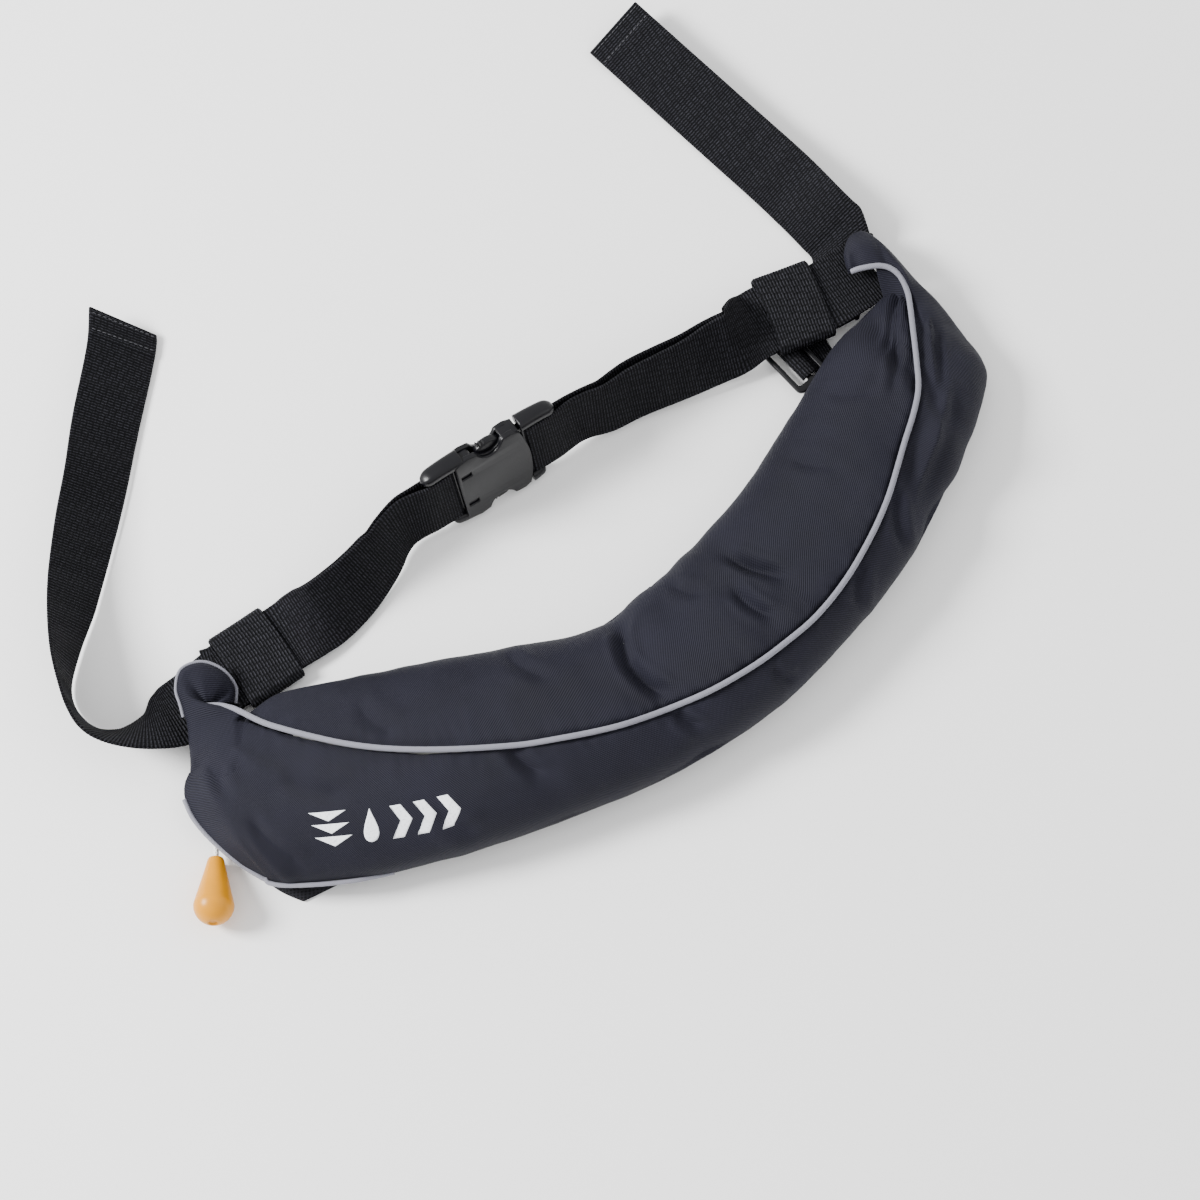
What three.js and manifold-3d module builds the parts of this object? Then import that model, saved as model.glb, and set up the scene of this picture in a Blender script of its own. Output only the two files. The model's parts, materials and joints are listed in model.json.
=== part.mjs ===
// An inflatable belt pack lying on its back: a padded crescent pouch, a doubled webbing belt with a
// fastened side-release buckle, two keepers, a slider and a pull cord with a teardrop toggle.
// Millimetres, +Z up, +X along the pouch from its cord end, +Y from the pouch to the belt.
import * as THREE from "three";
import { mergeVertices } from "three/addons/utils/BufferGeometryUtils.js";
import Module from "manifold-3d";

const wasm = await Module();
wasm.setup();

// Pouch
const BEND_RADIUS = 356; // middle line of the crescent
const BAND_WIDTH = 102;
const POUCH_DEPTH = 46;
const HALF_SWEEP = 43; // degrees to each end of the crescent
const CLOTH = 2;
const BACK_PANEL = 2.4;
const FILLING_GAP = 3.4;
const FOOT_TURN = 35; // degrees that the cover curls in under its widest line
const WIDEST_HEIGHT = 0.42; // share of the depth
const FIT = 0.3; // gap between pieces that touch

// Piping
const PIPING_DIAMETER = 3.2;
const RIM_PIPING_DIAMETER = 1.8;

// Belt
const WEBBING_WIDTH = 39;
const WEBBING_THICKNESS = 1.6;
const LAYER_SLACK = 0.5; // gap between the two layers of the belt where they lie flat
const HEM_LENGTH = 14;
const HEM_SLANT = 11; // how far the left tail's far corner falls back
const HEM_THICKNESS = 3;
const KEEPER_LENGTH = 33;
const KEEPER_THICKNESS = 1.6;
const KEEPER_TUCK = 0.8; // how far the belt's edges reach into the keeper's rounded sides

// Buckle
const BUCKLE_LENGTH = 84;
const BUCKLE_RAIL = 5.5;
const BUCKLE_THICKNESS = 11;
const BUCKLE_BAR = 4.4;
const BUCKLE_TILT = 75; // degrees, standing on its long edge and leaning back
const BUCKLE_AT = { turn: -0.076, reach: 0.669 }; // its middle: shares of HALF_SWEEP and INNER_RADIUS
const SOCKET_PLATE = 44;
const PLUG_BODY = 3.4;
const SOCKET_CAVITY = 6; // height of the space that takes the prongs
const WINDOW_REACH = 7.5; // how far the finger windows cut in
const PRONG_WIDTH = 6;
const PRONG_THICKNESS = 5;
const PRONG_INSET = 6.5; // of a prong's line, from the buckle's long edge
const RECESS = { length: 5, width: 2.4, depth: 1, inset: 5, across: 12 }; // two marks on the socket's face
const EDGE_BEVEL = 1.6;
const PLUG_BAR_GAP = 18; // from the socket's plate to the plug's bar
const BAR_RUN = 12; // straight run of the webbing out from a bar

// Slider and its strap
const SLIDER_LENGTH = 50;
const SLIDER_WIDTH = 22;
const SLIDER_THICKNESS = 2.8;
const SLIDER_BAR = 2.8;
const SLIDER_RAIL = 4.5;
const STRAP_REACH = 9; // of the slider's strap, from its side bar to the pouch

// Pull cord
const CORD_DIAMETER = 2.8;
const TOGGLE_LENGTH = 38;
const TOGGLE_DIAMETER = 21.5;
const TOGGLE_NECK = 8.9;
const INFLATOR = { length: 34, width: 22, height: 17 };
// The cord's route from the inflator to the toggle's neck, about the bend's centre
const CORD_ROUTE = [
  [-217, -291, 8],
  [-229, -295.5, 6.8],
  [-238, -297.5, 6.4],
  [-242.7, -300.5, 6.2],
  [-245.2, -305.7, 5.9],
  [-248.3, -310.7, 5.4],
];

const INNER_RADIUS = BEND_RADIUS - BAND_WIDTH / 2;
const FLAT_GAP = WEBBING_THICKNESS + LAYER_SLACK;
const KEEPER_STACK = FLAT_GAP + WEBBING_THICKNESS + 5 * FIT; // height inside a keeper
// Height of the upper layer's edge in the left keeper, which lies just off the floor
const KEEPER_LIFT = ((FLAT_GAP + KEEPER_STACK) / 2 + KEEPER_THICKNESS + FIT) / WEBBING_THICKNESS;
const BUCKLE_WIDTH = WEBBING_WIDTH + 2 + 2 * BUCKLE_RAIL;

// Sections along the pouch. at: share of HALF_SWEEP. inner, outer: reach to each side in half bands.
// depth: share of POUCH_DEPTH. seam: where the piping crosses, in half bands. lean, bow: degrees by
// which the end line turns and rounds.
const SECTIONS = [
  { at: -1.0, inner: -0.27, outer: 0.94, depth: 0.26, seam: -0.25, lean: 2.2, bow: 4.6 },
  { at: -0.95, inner: -0.52, outer: 1.02, depth: 0.44, seam: -0.42, lean: 1.9, bow: 4.2 },
  { at: -0.9, inner: -0.72, outer: 1.06, depth: 0.56, seam: -0.54, lean: 1.3, bow: 2.9 },
  { at: -0.8, inner: -0.95, outer: 1.1, depth: 0.7, seam: -0.44, lean: 0.6, bow: 1.0 },
  { at: -0.62, inner: -1.06, outer: 1.08, depth: 0.85, seam: -0.17, lean: 0, bow: 0 },
  { at: -0.45, inner: -1.06, outer: 1.0, depth: 0.95, seam: 0.05, lean: 0, bow: 0 },
  { at: -0.25, inner: -0.96, outer: 0.96, depth: 1.0, seam: 0.29, lean: 0, bow: 0 },
  { at: -0.08, inner: -0.78, outer: 0.99, depth: 0.98, seam: 0.47, lean: 0, bow: 0 },
  { at: 0.1, inner: -0.86, outer: 1.01, depth: 1.0, seam: 0.6, lean: 0, bow: 0 },
  { at: 0.3, inner: -0.9, outer: 0.97, depth: 0.98, seam: 0.64, lean: 0, bow: 0 },
  { at: 0.5, inner: -0.97, outer: 0.91, depth: 0.92, seam: 0.48, lean: 0, bow: 0 },
  { at: 0.66, inner: -0.98, outer: 0.84, depth: 0.85, seam: 0.28, lean: 0.2, bow: 0 },
  { at: 0.8, inner: -0.93, outer: 0.83, depth: 0.76, seam: 0.13, lean: 1.0, bow: -0.2 },
  { at: 0.9, inner: -0.72, outer: 0.8, depth: 0.64, seam: -0.1, lean: 1.9, bow: -0.1 },
  { at: 0.96, inner: -0.54, outer: 0.76, depth: 0.54, seam: -0.26, lean: 2.4, bow: 0 },
  { at: 1.0, inner: -0.36, outer: 0.66, depth: 0.4, seam: -0.28, lean: 2.7, bow: 0.2 },
];
const SECTION_STEPS = 46;
const UPPER_STEPS = 8;
const LOWER_STEPS = 7;

// Dents of the cover. at: share of HALF_SWEEP. across: half bands. length, width: shares of the band
// width. depth: share of POUCH_DEPTH, negative for a ridge. heading: degrees from straight across.
const DENTS = [
  { at: -0.04, across: -0.25, length: 0.42, width: 0.1, depth: 0.11, heading: 8 },
  { at: 0.27, across: -0.25, length: 0.3, width: 0.09, depth: 0.08, heading: -14 },
  { at: 0.2, across: 0.1, length: 0.26, width: 0.08, depth: 0.06, heading: -6 },
  { at: -0.31, across: 0.5, length: 0.22, width: 0.09, depth: 0.06, heading: -20 },
  { at: -0.02, across: 0.75, length: 0.2, width: 0.09, depth: 0.06, heading: -12 },
  { at: 0.1, across: -0.7, length: 0.3, width: 0.12, depth: 0.05, heading: 20 },
  { at: 0.86, across: -0.42, length: 0.3, width: 0.07, depth: 0.1, heading: 24 },
  { at: 0.74, across: 0.55, length: 0.34, width: 0.1, depth: -0.06, heading: 26 },
  { at: 0.62, across: 0.72, length: 0.3, width: 0.1, depth: 0.06, heading: 24 },
];

// Belt routes, by the edge of the webbing that is nearer the pouch. turn: share of HALF_SWEEP.
// reach: share of INNER_RADIUS. tilt: degrees by which the far edge stands up, negative for the near
// edge. lift: height of the low edge in webbing thicknesses. gap: between the layers, in thicknesses.
const LEFT_FRONT = [
  { turn: -0.96, reach: 1.058, tilt: 0, lift: 0.8 * KEEPER_LIFT, gap: 0 },
  { turn: -0.91, reach: 1.04, tilt: 0, lift: 0.86 * KEEPER_LIFT, gap: 0 },
  { turn: -0.862, reach: 1.014, tilt: 0, lift: KEEPER_LIFT, gap: 0 },
  { turn: -0.79, reach: 0.973, tilt: 0, lift: KEEPER_LIFT, gap: 0 },
  { turn: -0.745, reach: 0.948, tilt: 0, lift: KEEPER_LIFT, gap: 0 },
  { turn: -0.71, reach: 0.934, tilt: 9, lift: 0.88 * KEEPER_LIFT, gap: 0 },
  { turn: -0.65, reach: 0.908, tilt: 33, lift: 1.9, gap: 0 },
  { turn: -0.56, reach: 0.856, tilt: 47, lift: 1.3, gap: 0 },
  { turn: -0.47, reach: 0.8, tilt: 60, lift: 2.0, gap: 0 },
  { turn: -0.385, reach: 0.759, tilt: 72, lift: 3.4, gap: 0.4 },
];
const RIGHT_FRONT = [
  { turn: 0.985, reach: 1.06, tilt: 5, lift: 7.7, gap: 0 },
  { turn: 0.955, reach: 1.04, tilt: 6, lift: 7.9, gap: 0 },
  { turn: 0.915, reach: 1.014, tilt: 6, lift: 7.9, gap: 0 },
  { turn: 0.873, reach: 0.977, tilt: 6, lift: 7.9, gap: 0 },
  { turn: 0.82, reach: 0.937, tilt: 6, lift: 7.9, gap: 0 },
  { turn: 0.787, reach: 0.92, tilt: 6, lift: 7.9, gap: 0 },
  { turn: 0.757, reach: 0.905, tilt: 28, lift: 6.1, gap: 0.3 },
  { turn: 0.72, reach: 0.89, tilt: 46, lift: 4.8, gap: 0.8 },
  { turn: 0.665, reach: 0.86, tilt: 52, lift: 3.8, gap: 1.5 },
  { turn: 0.595, reach: 0.827, tilt: 60, lift: 3.0, gap: 2.2 },
  { turn: 0.52, reach: 0.796, tilt: 64, lift: 2.7, gap: 2.7 },
  { turn: 0.445, reach: 0.77, tilt: 67, lift: 2.5, gap: 2.6 },
  { turn: 0.35, reach: 0.757, tilt: 71, lift: 2.4, gap: 1.9 },
  { turn: 0.24, reach: 0.745, tilt: 74, lift: 3.4, gap: 0.8 },
];
const LEFT_TAIL = [
  { turn: -0.94, reach: 1.075, tilt: 0, lift: 0.75 },
  { turn: -0.99, reach: 1.115, tilt: -13, lift: 0.7 },
  { turn: -1.056, reach: 1.149, tilt: -40, lift: 0.7 },
  { turn: -1.13, reach: 1.161, tilt: -60, lift: 0.7 },
  { turn: -1.185, reach: 1.152, tilt: -70, lift: 0.7 },
  { turn: -1.23, reach: 1.123, tilt: -82, lift: 0.7 },
  { turn: -1.272, reach: 1.082, tilt: -87, lift: 0.7 },
  { turn: -1.32, reach: 1.031, tilt: -77, lift: 0.7 },
  { turn: -1.39, reach: 0.95, tilt: -58, lift: 0.7 },
  { turn: -1.49, reach: 0.827, tilt: -43, lift: 0.7 },
  { turn: -1.575, reach: 0.731, tilt: -37, lift: 0.7 },
  { turn: -1.68, reach: 0.648, tilt: -31, lift: 0.7 },
  { turn: -1.9, reach: 0.52, tilt: -27, lift: 0.8 },
  { turn: -2.04, reach: 0.48, tilt: -24, lift: 1.05 },
];
const RIGHT_TAIL = [
  { turn: 1.105, reach: 0.933, tilt: 26, lift: 0.8 },
  { turn: 1.155, reach: 0.895, tilt: 32, lift: 0.7 },
  { turn: 1.24, reach: 0.834, tilt: 26, lift: 0.7 },
  { turn: 1.39, reach: 0.745, tilt: 21, lift: 0.7 },
  { turn: 1.58, reach: 0.667, tilt: 21, lift: 0.7 },
  { turn: 1.76, reach: 0.617, tilt: 21, lift: 0.85 },
  { turn: 1.97, reach: 0.58, tilt: 20, lift: 1.05 },
];
const ROUTE_STEP = 7; // between two cross-sections of a strap
const LEFT_KEEPER_AT = -0.815; // share of HALF_SWEEP
const RIGHT_KEEPER_AT = 0.862;
const LEFT_BACK_END = 0.9; // where the layer behind becomes the tail
const RIGHT_BACK_END = 0.94;
const FOLD_AT = 0.95; // where the near edge meets the tail's diagonal fold
const SLIDER_AT = { turn: 0.82, reach: 0.935, heading: 8 }; // its middle, and degrees that it is turned

// Ears: the ends of the cover that fold up over the straps. along: share of HALF_SWEEP.
// reach: half bands. rise: share of POUCH_DEPTH.
const LEFT_EAR_RIM = [
  { along: -0.965, reach: 0.02, rise: 0.2 },
  { along: -0.985, reach: -0.2, rise: 0.27 },
  { along: -0.995, reach: -0.4, rise: 0.33 },
  { along: -1.01, reach: -0.6, rise: 0.4 },
  { along: -1.03, reach: -0.83, rise: 0.46 },
  { along: -1.03, reach: -1.04, rise: 0.48 },
  { along: -0.99, reach: -1.16, rise: 0.46 },
  { along: -0.94, reach: -1.13, rise: 0.38 },
  { along: -0.908, reach: -1.0, rise: 0.24 },
  { along: -0.905, reach: -0.84, rise: 0.16 },
];
const LEFT_EAR_ROOT = { along: -0.925, reach: -0.45, rise: 0.46 };
const EAR_PIPING_FROM = 2; // the row of the left ear's rim where its piping starts
const RIGHT_EAR_RIM = [
  { along: 0.985, reach: 0.3, rise: 0.34 },
  { along: 1.02, reach: 0.05, rise: 0.4 },
  { along: 1.055, reach: -0.22, rise: 0.44 },
  { along: 1.1, reach: -0.5, rise: 0.48 },
  { along: 1.14, reach: -0.74, rise: 0.49 },
  { along: 1.155, reach: -0.9, rise: 0.48 },
  { along: 1.135, reach: -1.03, rise: 0.47 },
  { along: 1.09, reach: -1.06, rise: 0.43 },
  { along: 1.05, reach: -0.97, rise: 0.39 },
  { along: 1.01, reach: -0.84, rise: 0.37 },
];
const RIGHT_EAR_ROOT = { along: 0.98, reach: -0.35, rise: 0.62 };
const EAR_RINGS = 4;

const SLIDER_LIFT = WEBBING_THICKNESS + 2.5 * FIT + SLIDER_THICKNESS / 2;

const radians = THREE.MathUtils.degToRad;
const vector = (x, y, z) => new THREE.Vector3(x, y, z);

const FINISHES = {
  cover: { color: 0x28292f, roughness: 0.75 },
  mesh: { color: 0x1d1e21, roughness: 0.95 },
  webbing: { color: 0x17181b, roughness: 0.85 },
  piping: { color: 0x85858d, roughness: 0.6 },
  filling: { color: 0x8a8a86, roughness: 0.9 },
  plastic: { color: 0x141417, roughness: 0.35 },
  cord: { color: 0xe8e8e6, roughness: 0.8 },
  toggle: { color: 0xfcac06, roughness: 0.25 },
};

// Reads a table between its rows with a smooth curve through them.
function sample(table, key, at) {
  const up = table[0][key] < table[table.length - 1][key];
  let i = table.findIndex((row) => (up ? row[key] >= at : row[key] <= at));
  i = i < 0 ? table.length - 1 : Math.max(i, 1);
  const [a, b] = [table[i - 1], table[i]];
  const before = table[Math.max(i - 2, 0)];
  const after = table[Math.min(i + 1, table.length - 1)];
  const t = (at - a[key]) / (b[key] - a[key]);
  const row = {};
  for (const name of Object.keys(a)) {
    const rise = (p, q) => ((q[name] - p[name]) / (q[key] - p[key] || 1)) * (b[key] - a[key]);
    const [from, to] = [rise(before, b), rise(a, after)];
    const [t2, t3] = [t * t, t * t * t];
    const blend = 3 * t2 - 2 * t3;
    row[name] = a[name] * (1 - blend) + b[name] * blend + from * (t3 - 2 * t2 + t) + to * (t3 - t2);
  }
  return row;
}

// A closed body from its vertices and triangles, with its faces turned outwards.
function body(points, triangles) {
  let volume = 0;
  for (const [a, b, c] of triangles) volume += points[a].dot(points[b].clone().cross(points[c]));
  const index = volume > 0 ? triangles.flat() : triangles.map(([a, b, c]) => [a, c, b]).flat();
  const geometry = new THREE.BufferGeometry().setFromPoints(points);
  return geometry.setIndex(index);
}

// Joins rings of points, each a closed section, into a body with flat ends.
function loft(rings) {
  const size = rings[0].length;
  const triangles = [];
  for (let i = 0; i + 1 < rings.length; i++)
    for (let j = 0; j < size; j++) {
      const [a, b] = [i * size + j, i * size + ((j + 1) % size)];
      triangles.push([a, b, b + size], [a, b + size, a + size]);
    }
  const last = (rings.length - 1) * size;
  for (let j = 1; j + 1 < size; j++) triangles.push([0, j + 1, j], [last, last + j, last + j + 1]);
  return body(rings.flat(), triangles);
}

// A wall of cloth: the outer surface as rows of points, thickened inwards.
function wall(rows, thickness, lowest = 0) {
  const [tall, wide] = [rows.length, rows[0].length];
  const pick = (i, j) => rows[Math.min(Math.max(i, 0), tall - 1)][Math.min(Math.max(j, 0), wide - 1)];
  const outer = rows.flat();
  const inner = outer.map((point, k) => {
    const [i, j] = [Math.floor(k / wide), k % wide];
    const along = pick(i + 1, j).clone().sub(pick(i - 1, j));
    const across = pick(i, j + 1).clone().sub(pick(i, j - 1));
    const inside = point.clone().addScaledVector(across.cross(along).normalize(), -thickness);
    return inside.setZ(Math.max(inside.z, lowest));
  });
  const [count, triangles] = [outer.length, []];
  const quad = (a, b, c, d) => triangles.push([a, b, c], [a, c, d]);
  for (let i = 0; i + 1 < tall; i++)
    for (let j = 0; j + 1 < wide; j++) {
      const a = i * wide + j;
      quad(a, a + wide, a + wide + 1, a + 1);
      quad(count + a, count + a + 1, count + a + wide + 1, count + a + wide);
    }
  const edge = (a, b) => quad(a, b, b + count, a + count);
  for (let i = 0; i + 1 < tall; i++) {
    edge((i + 1) * wide, i * wide);
    edge(i * wide + wide - 1, (i + 1) * wide + wide - 1);
  }
  for (let j = 0; j + 1 < wide; j++) {
    edge(j, j + 1);
    edge((tall - 1) * wide + j + 1, (tall - 1) * wide + j);
  }
  return body([...outer, ...inner], triangles);
}

// A cord or piping of a round section along points.
function rod(points, diameter, sides, steps) {
  const section = new THREE.Shape();
  for (let i = 0; i < sides; i++) {
    const a = (i / sides) * 2 * Math.PI;
    const [x, y] = [(Math.cos(a) * diameter) / 2, (Math.sin(a) * diameter) / 2];
    i ? section.lineTo(x, y) : section.moveTo(x, y);
  }
  section.closePath();
  const extrudePath = new THREE.CatmullRomCurve3(points, false, "centripetal");
  return new THREE.ExtrudeGeometry(section, { steps, extrudePath, bevelEnabled: false });
}

function solid(geometry) {
  const bare = geometry.clone();
  bare.deleteAttribute("normal");
  bare.deleteAttribute("uv");
  const merged = mergeVertices(bare, 1e-4);
  const { position } = merged.attributes;
  const mesh = new wasm.Mesh({ numProp: 3, vertProperties: position.array, triVerts: merged.index.array });
  return new wasm.Manifold(mesh);
}

function geometryOf(manifold) {
  const { vertProperties, triVerts } = manifold.getMesh();
  const geometry = new THREE.BufferGeometry();
  geometry.setAttribute("position", new THREE.BufferAttribute(vertProperties, 3));
  return geometry.setIndex(new THREE.BufferAttribute(triVerts, 1));
}

function box(x, y, z, length, width, height) {
  return new THREE.BoxGeometry(length, width, height).translate(x, y, z);
}

function cut(whole, pieces) {
  return geometryOf(pieces.reduce((left, piece) => left.subtract(solid(piece)), solid(whole)));
}

function join(pieces) {
  return pieces.map(solid).reduce((sum, piece) => sum.add(piece));
}

// A point of the crescent's plan: a share of the sweep and a radius.
function polar(turn, radius) {
  const a = radians(turn * HALF_SWEEP);
  return vector(radius * Math.sin(a), -radius * Math.cos(a), 0);
}

// The height that the dents take off the cover at a place.
function dentDepth(at, across) {
  let depth = 0;
  for (const dent of DENTS) {
    const along = (at - dent.at) * radians(HALF_SWEEP) * BEND_RADIUS;
    const over = ((across - dent.across) * BAND_WIDTH) / 2;
    const a = radians(dent.heading);
    const u = (along * Math.cos(a) + over * Math.sin(a)) / (dent.width * BAND_WIDTH);
    const v = (over * Math.cos(a) - along * Math.sin(a)) / (dent.length * BAND_WIDTH);
    depth += dent.depth * POUCH_DEPTH * Math.exp(-u * u - v * v);
  }
  return depth;
}

const FOOT = BACK_PANEL + FIT;
const across = (a) => Math.sign(Math.cos(a)) * Math.abs(Math.cos(a)) ** 0.8;

// The cover's surface: at along the crescent, a the angle round the section, 0 at its outer side.
function coverPoint(at, angle, inset = 0) {
  const row = sample(SECTIONS, "at", at);
  const q = across(angle);
  const dent = Math.sin(angle) > 0 ? dentDepth(at, q) + inset : inset;
  const side = q < 0 ? -row.inner : row.outer;
  const end = Math.sign(at) * (row.lean * -q - row.bow * q * q);
  const radius = BEND_RADIUS + (q * side * BAND_WIDTH) / 2 - Math.cos(angle) * dent;
  const depth = row.depth * POUCH_DEPTH;
  const widest = Math.max(WIDEST_HEIGHT * depth, FOOT + CLOTH);
  const rise = Math.sin(angle);
  const low = 1 + rise / Math.sin(radians(FOOT_TURN));
  const height =
    rise > 0 ? widest + (depth - widest) * rise ** 0.85 - rise * dent : FOOT + (widest - FOOT) * low;
  return polar(at + end / HALF_SWEEP, radius).setZ(Math.max(height, FOOT));
}

// The angle round the section at which the piping lies.
function seamAngle(at) {
  const { seam, inner, outer } = sample(SECTIONS, "at", at);
  const q = THREE.MathUtils.clamp(seam / (seam < 0 ? -inner : outer), -0.97, 0.97);
  return Math.acos(Math.sign(q) * Math.abs(q) ** (1 / 0.8));
}

const INNER_FOOT = Math.PI + radians(FOOT_TURN);
const OUTER_FOOT = -radians(FOOT_TURN);
const stations = (from, to, steps) =>
  Array.from({ length: steps + 1 }, (_, i) => THREE.MathUtils.lerp(from, to, i / steps));

function coverPanel(steps, anglesAt) {
  const rows = stations(-1, 1, SECTION_STEPS).map((at) => {
    const [from, to] = anglesAt(at);
    return stations(from, to, steps).map((angle) => coverPoint(at, angle));
  });
  return wall(rows, CLOTH, FOOT);
}

// Half the gap under the piping, as an angle of the section: wider at the flat ends.
const seamGap = (at) => ((Math.abs(at) > 0.95 ? 3.8 : 1.4) * FIT) / (POUCH_DEPTH / 3);

function upperPanel() {
  return coverPanel(UPPER_STEPS, (at) => [INNER_FOOT, seamAngle(at) + seamGap(at)]);
}

function lowerPanel() {
  return coverPanel(LOWER_STEPS, (at) => [seamAngle(at) - seamGap(at), OUTER_FOOT]);
}

// The flat back: a plate under the cover, with the corner of its flap showing at the cord end.
const FLAP = { from: -0.86, to: -0.68, peak: -0.765, reach: 0.09 };

function backPanel() {
  const flap = (at) => {
    const end = at < FLAP.peak ? FLAP.from : FLAP.to;
    return FLAP.reach * Math.max((at - end) / (FLAP.peak - end), 0);
  };
  const edge = (at, side, extra) => {
    const foot = coverPoint(at, side < 0 ? INNER_FOOT : OUTER_FOOT).setZ(0);
    const grown = foot.length() + side * (CLOTH / 2 + extra * BAND_WIDTH);
    return foot.setLength(grown);
  };
  const ends = 0.985;
  const rings = stations(-ends, ends, SECTION_STEPS + 14).map((at) => {
    const [near, far] = [edge(at, -1, 0), edge(at, 1, flap(at))];
    const top = vector(0, 0, BACK_PANEL);
    return [near, far, far.clone().add(top), near.clone().add(top)];
  });
  return loft(rings);
}

// The folded bladder that fills the pouch.
function foldedBladder() {
  const [from, to, sides] = [-0.76, 0.9, 14];
  const rings = stations(from, to, 26).map((at) =>
    stations(INNER_FOOT, OUTER_FOOT, sides).map((angle) => {
      const point = coverPoint(at, angle, CLOTH + FILLING_GAP);
      return point.setZ(Math.max(point.z, FOOT + FIT));
    }),
  );
  return loft(rings);
}

// The closed outer form of the cover, grown by the gap that touching pieces keep.
function coverForm() {
  const steps = UPPER_STEPS + LOWER_STEPS;
  const rings = stations(-1, 1, SECTION_STEPS).map((at) =>
    stations(INNER_FOOT, OUTER_FOOT, steps).map((angle) => coverPoint(at, angle, -3 * FIT)),
  );
  return loft(rings);
}

const coverHull = solid(coverForm());

function largest(manifold) {
  const parts = manifold.decompose().sort((a, b) => b.volume() - a.volume());
  return geometryOf(parts[0]);
}

function raised(at, angle, distance) {
  const step = 0.01;
  const along = coverPoint(at + step, angle).sub(coverPoint(at - step, angle));
  const round = coverPoint(at, angle + step).sub(coverPoint(at, angle - step));
  return coverPoint(at, angle).addScaledVector(along.cross(round).normalize(), distance);
}

const PIPING_LIFT = PIPING_DIAMETER / 2 + FIT;
const EDGE_PIPING = { from: -0.97, to: -0.6, angle: 0.02 };

function frontPiping() {
  const points = stations(-0.95, 0.97, 60).map((at) => raised(at, seamAngle(at), PIPING_LIFT));
  return rod(points, PIPING_DIAMETER, 6, 84);
}

function edgePiping() {
  const aside = polar(-1, 1).cross(vector(0, 0, 1)).multiplyScalar(-PIPING_LIFT);
  const end = stations(1.35, 0.25, 6).map((angle) => coverPoint(-1, angle).add(aside));
  const run = stations(EDGE_PIPING.from, EDGE_PIPING.to, 14);
  const side = run.map((at) => raised(at, EDGE_PIPING.angle, PIPING_LIFT));
  return largest(solid(rod([...end, ...side], PIPING_DIAMETER * 0.8, 6, 34)).subtract(coverHull));
}

// An ear: cloth cupped between its root on the pouch and its rim over the strap.
const earPoint = ({ along, reach, rise }) =>
  polar(along, BEND_RADIUS + (reach * BAND_WIDTH) / 2).setZ(rise * POUCH_DEPTH);

function ear(rim, root) {
  const centre = earPoint(root);
  const edge = new THREE.CatmullRomCurve3(rim.map(earPoint)).getPoints(18);
  const rows = edge.map((point) =>
    stations(0.12, 1, EAR_RINGS).map((share) => {
      const cupped = centre.clone().lerp(point, share);
      cupped.z += POUCH_DEPTH * 0.07 * Math.sin(Math.PI * share);
      return cupped;
    }),
  );
  return largest(solid(wall(rows, CLOTH * -Math.sign(root.along))).subtract(coverHull));
}

function earPiping() {
  const edge = LEFT_EAR_RIM.slice(EAR_PIPING_FROM).map((row) => {
    const point = earPoint(row);
    const out = point.clone().sub(earPoint(LEFT_EAR_ROOT)).setZ(0);
    return point.addScaledVector(out.normalize(), RIM_PIPING_DIAMETER / 2 + 4.4 * FIT);
  });
  return rod(edge, RIM_PIPING_DIAMETER, 6, 26);
}

// One cross-section of a strap: its near edge, the unit vector across it, and its normal.
function strapSection(edge, span, normal, width = WEBBING_WIDTH, thickness = WEBBING_THICKNESS) {
  return { edge, span, normal, width, thickness };
}

// Sections along a route. hand is 1 where the far edge lies to the left of the heading.
function routeSections(table, hand) {
  const place = ({ turn, reach, point }) => point || polar(turn, reach * INNER_RADIUS);
  const curve = new THREE.CatmullRomCurve3(table.map(place), false, "centripetal");
  const count = Math.max(Math.round(curve.getLength() / ROUTE_STEP), 2);
  const rows = table.map(({ point, ...row }, i) => ({ ...row, share: i / (table.length - 1) }));
  return stations(0, 1, count).map((part) => {
    const share = curve.getUtoTmapping(part);
    const row = sample(rows, "share", share);
    const heading = curve.getTangent(share);
    const flat = vector(-heading.y, heading.x, 0).multiplyScalar(hand);
    const tilt = radians(row.tilt);
    const span = flat.clone().multiplyScalar(Math.cos(tilt)).add(vector(0, 0, Math.sin(tilt)));
    const normal = flat.clone().multiplyScalar(-Math.sin(tilt)).add(vector(0, 0, Math.cos(tilt)));
    const low = row.lift * WEBBING_THICKNESS + Math.max(-Math.sin(tilt), 0) * WEBBING_WIDTH;
    const section = strapSection(curve.getPoint(share).setZ(low), span, normal);
    return { ...section, gap: FLAT_GAP + (row.gap || 0) * WEBBING_THICKNESS, turn: row.turn, heading };
  });
}

// The layer behind, which the webbing makes on its way back from the buckle.
function behind(section) {
  const edge = section.edge.clone().addScaledVector(section.normal, -section.gap);
  return { ...section, edge, normal: section.normal.clone().negate() };
}

// The half turn of the webbing round the buckle's bar.
function barTurn(last) {
  const heading = last.normal.clone().cross(last.span).normalize();
  if (heading.dot(last.heading) < 0) heading.negate();
  const centre = last.edge.clone().addScaledVector(last.normal, -last.gap / 2);
  return stations(0, Math.PI, 6).slice(1, -1).map((a) => {
    const out = last.normal.clone().multiplyScalar(Math.cos(a)).addScaledVector(heading, Math.sin(a));
    return strapSection(centre.clone().addScaledVector(out, last.gap / 2), last.span, out);
  });
}

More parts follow.
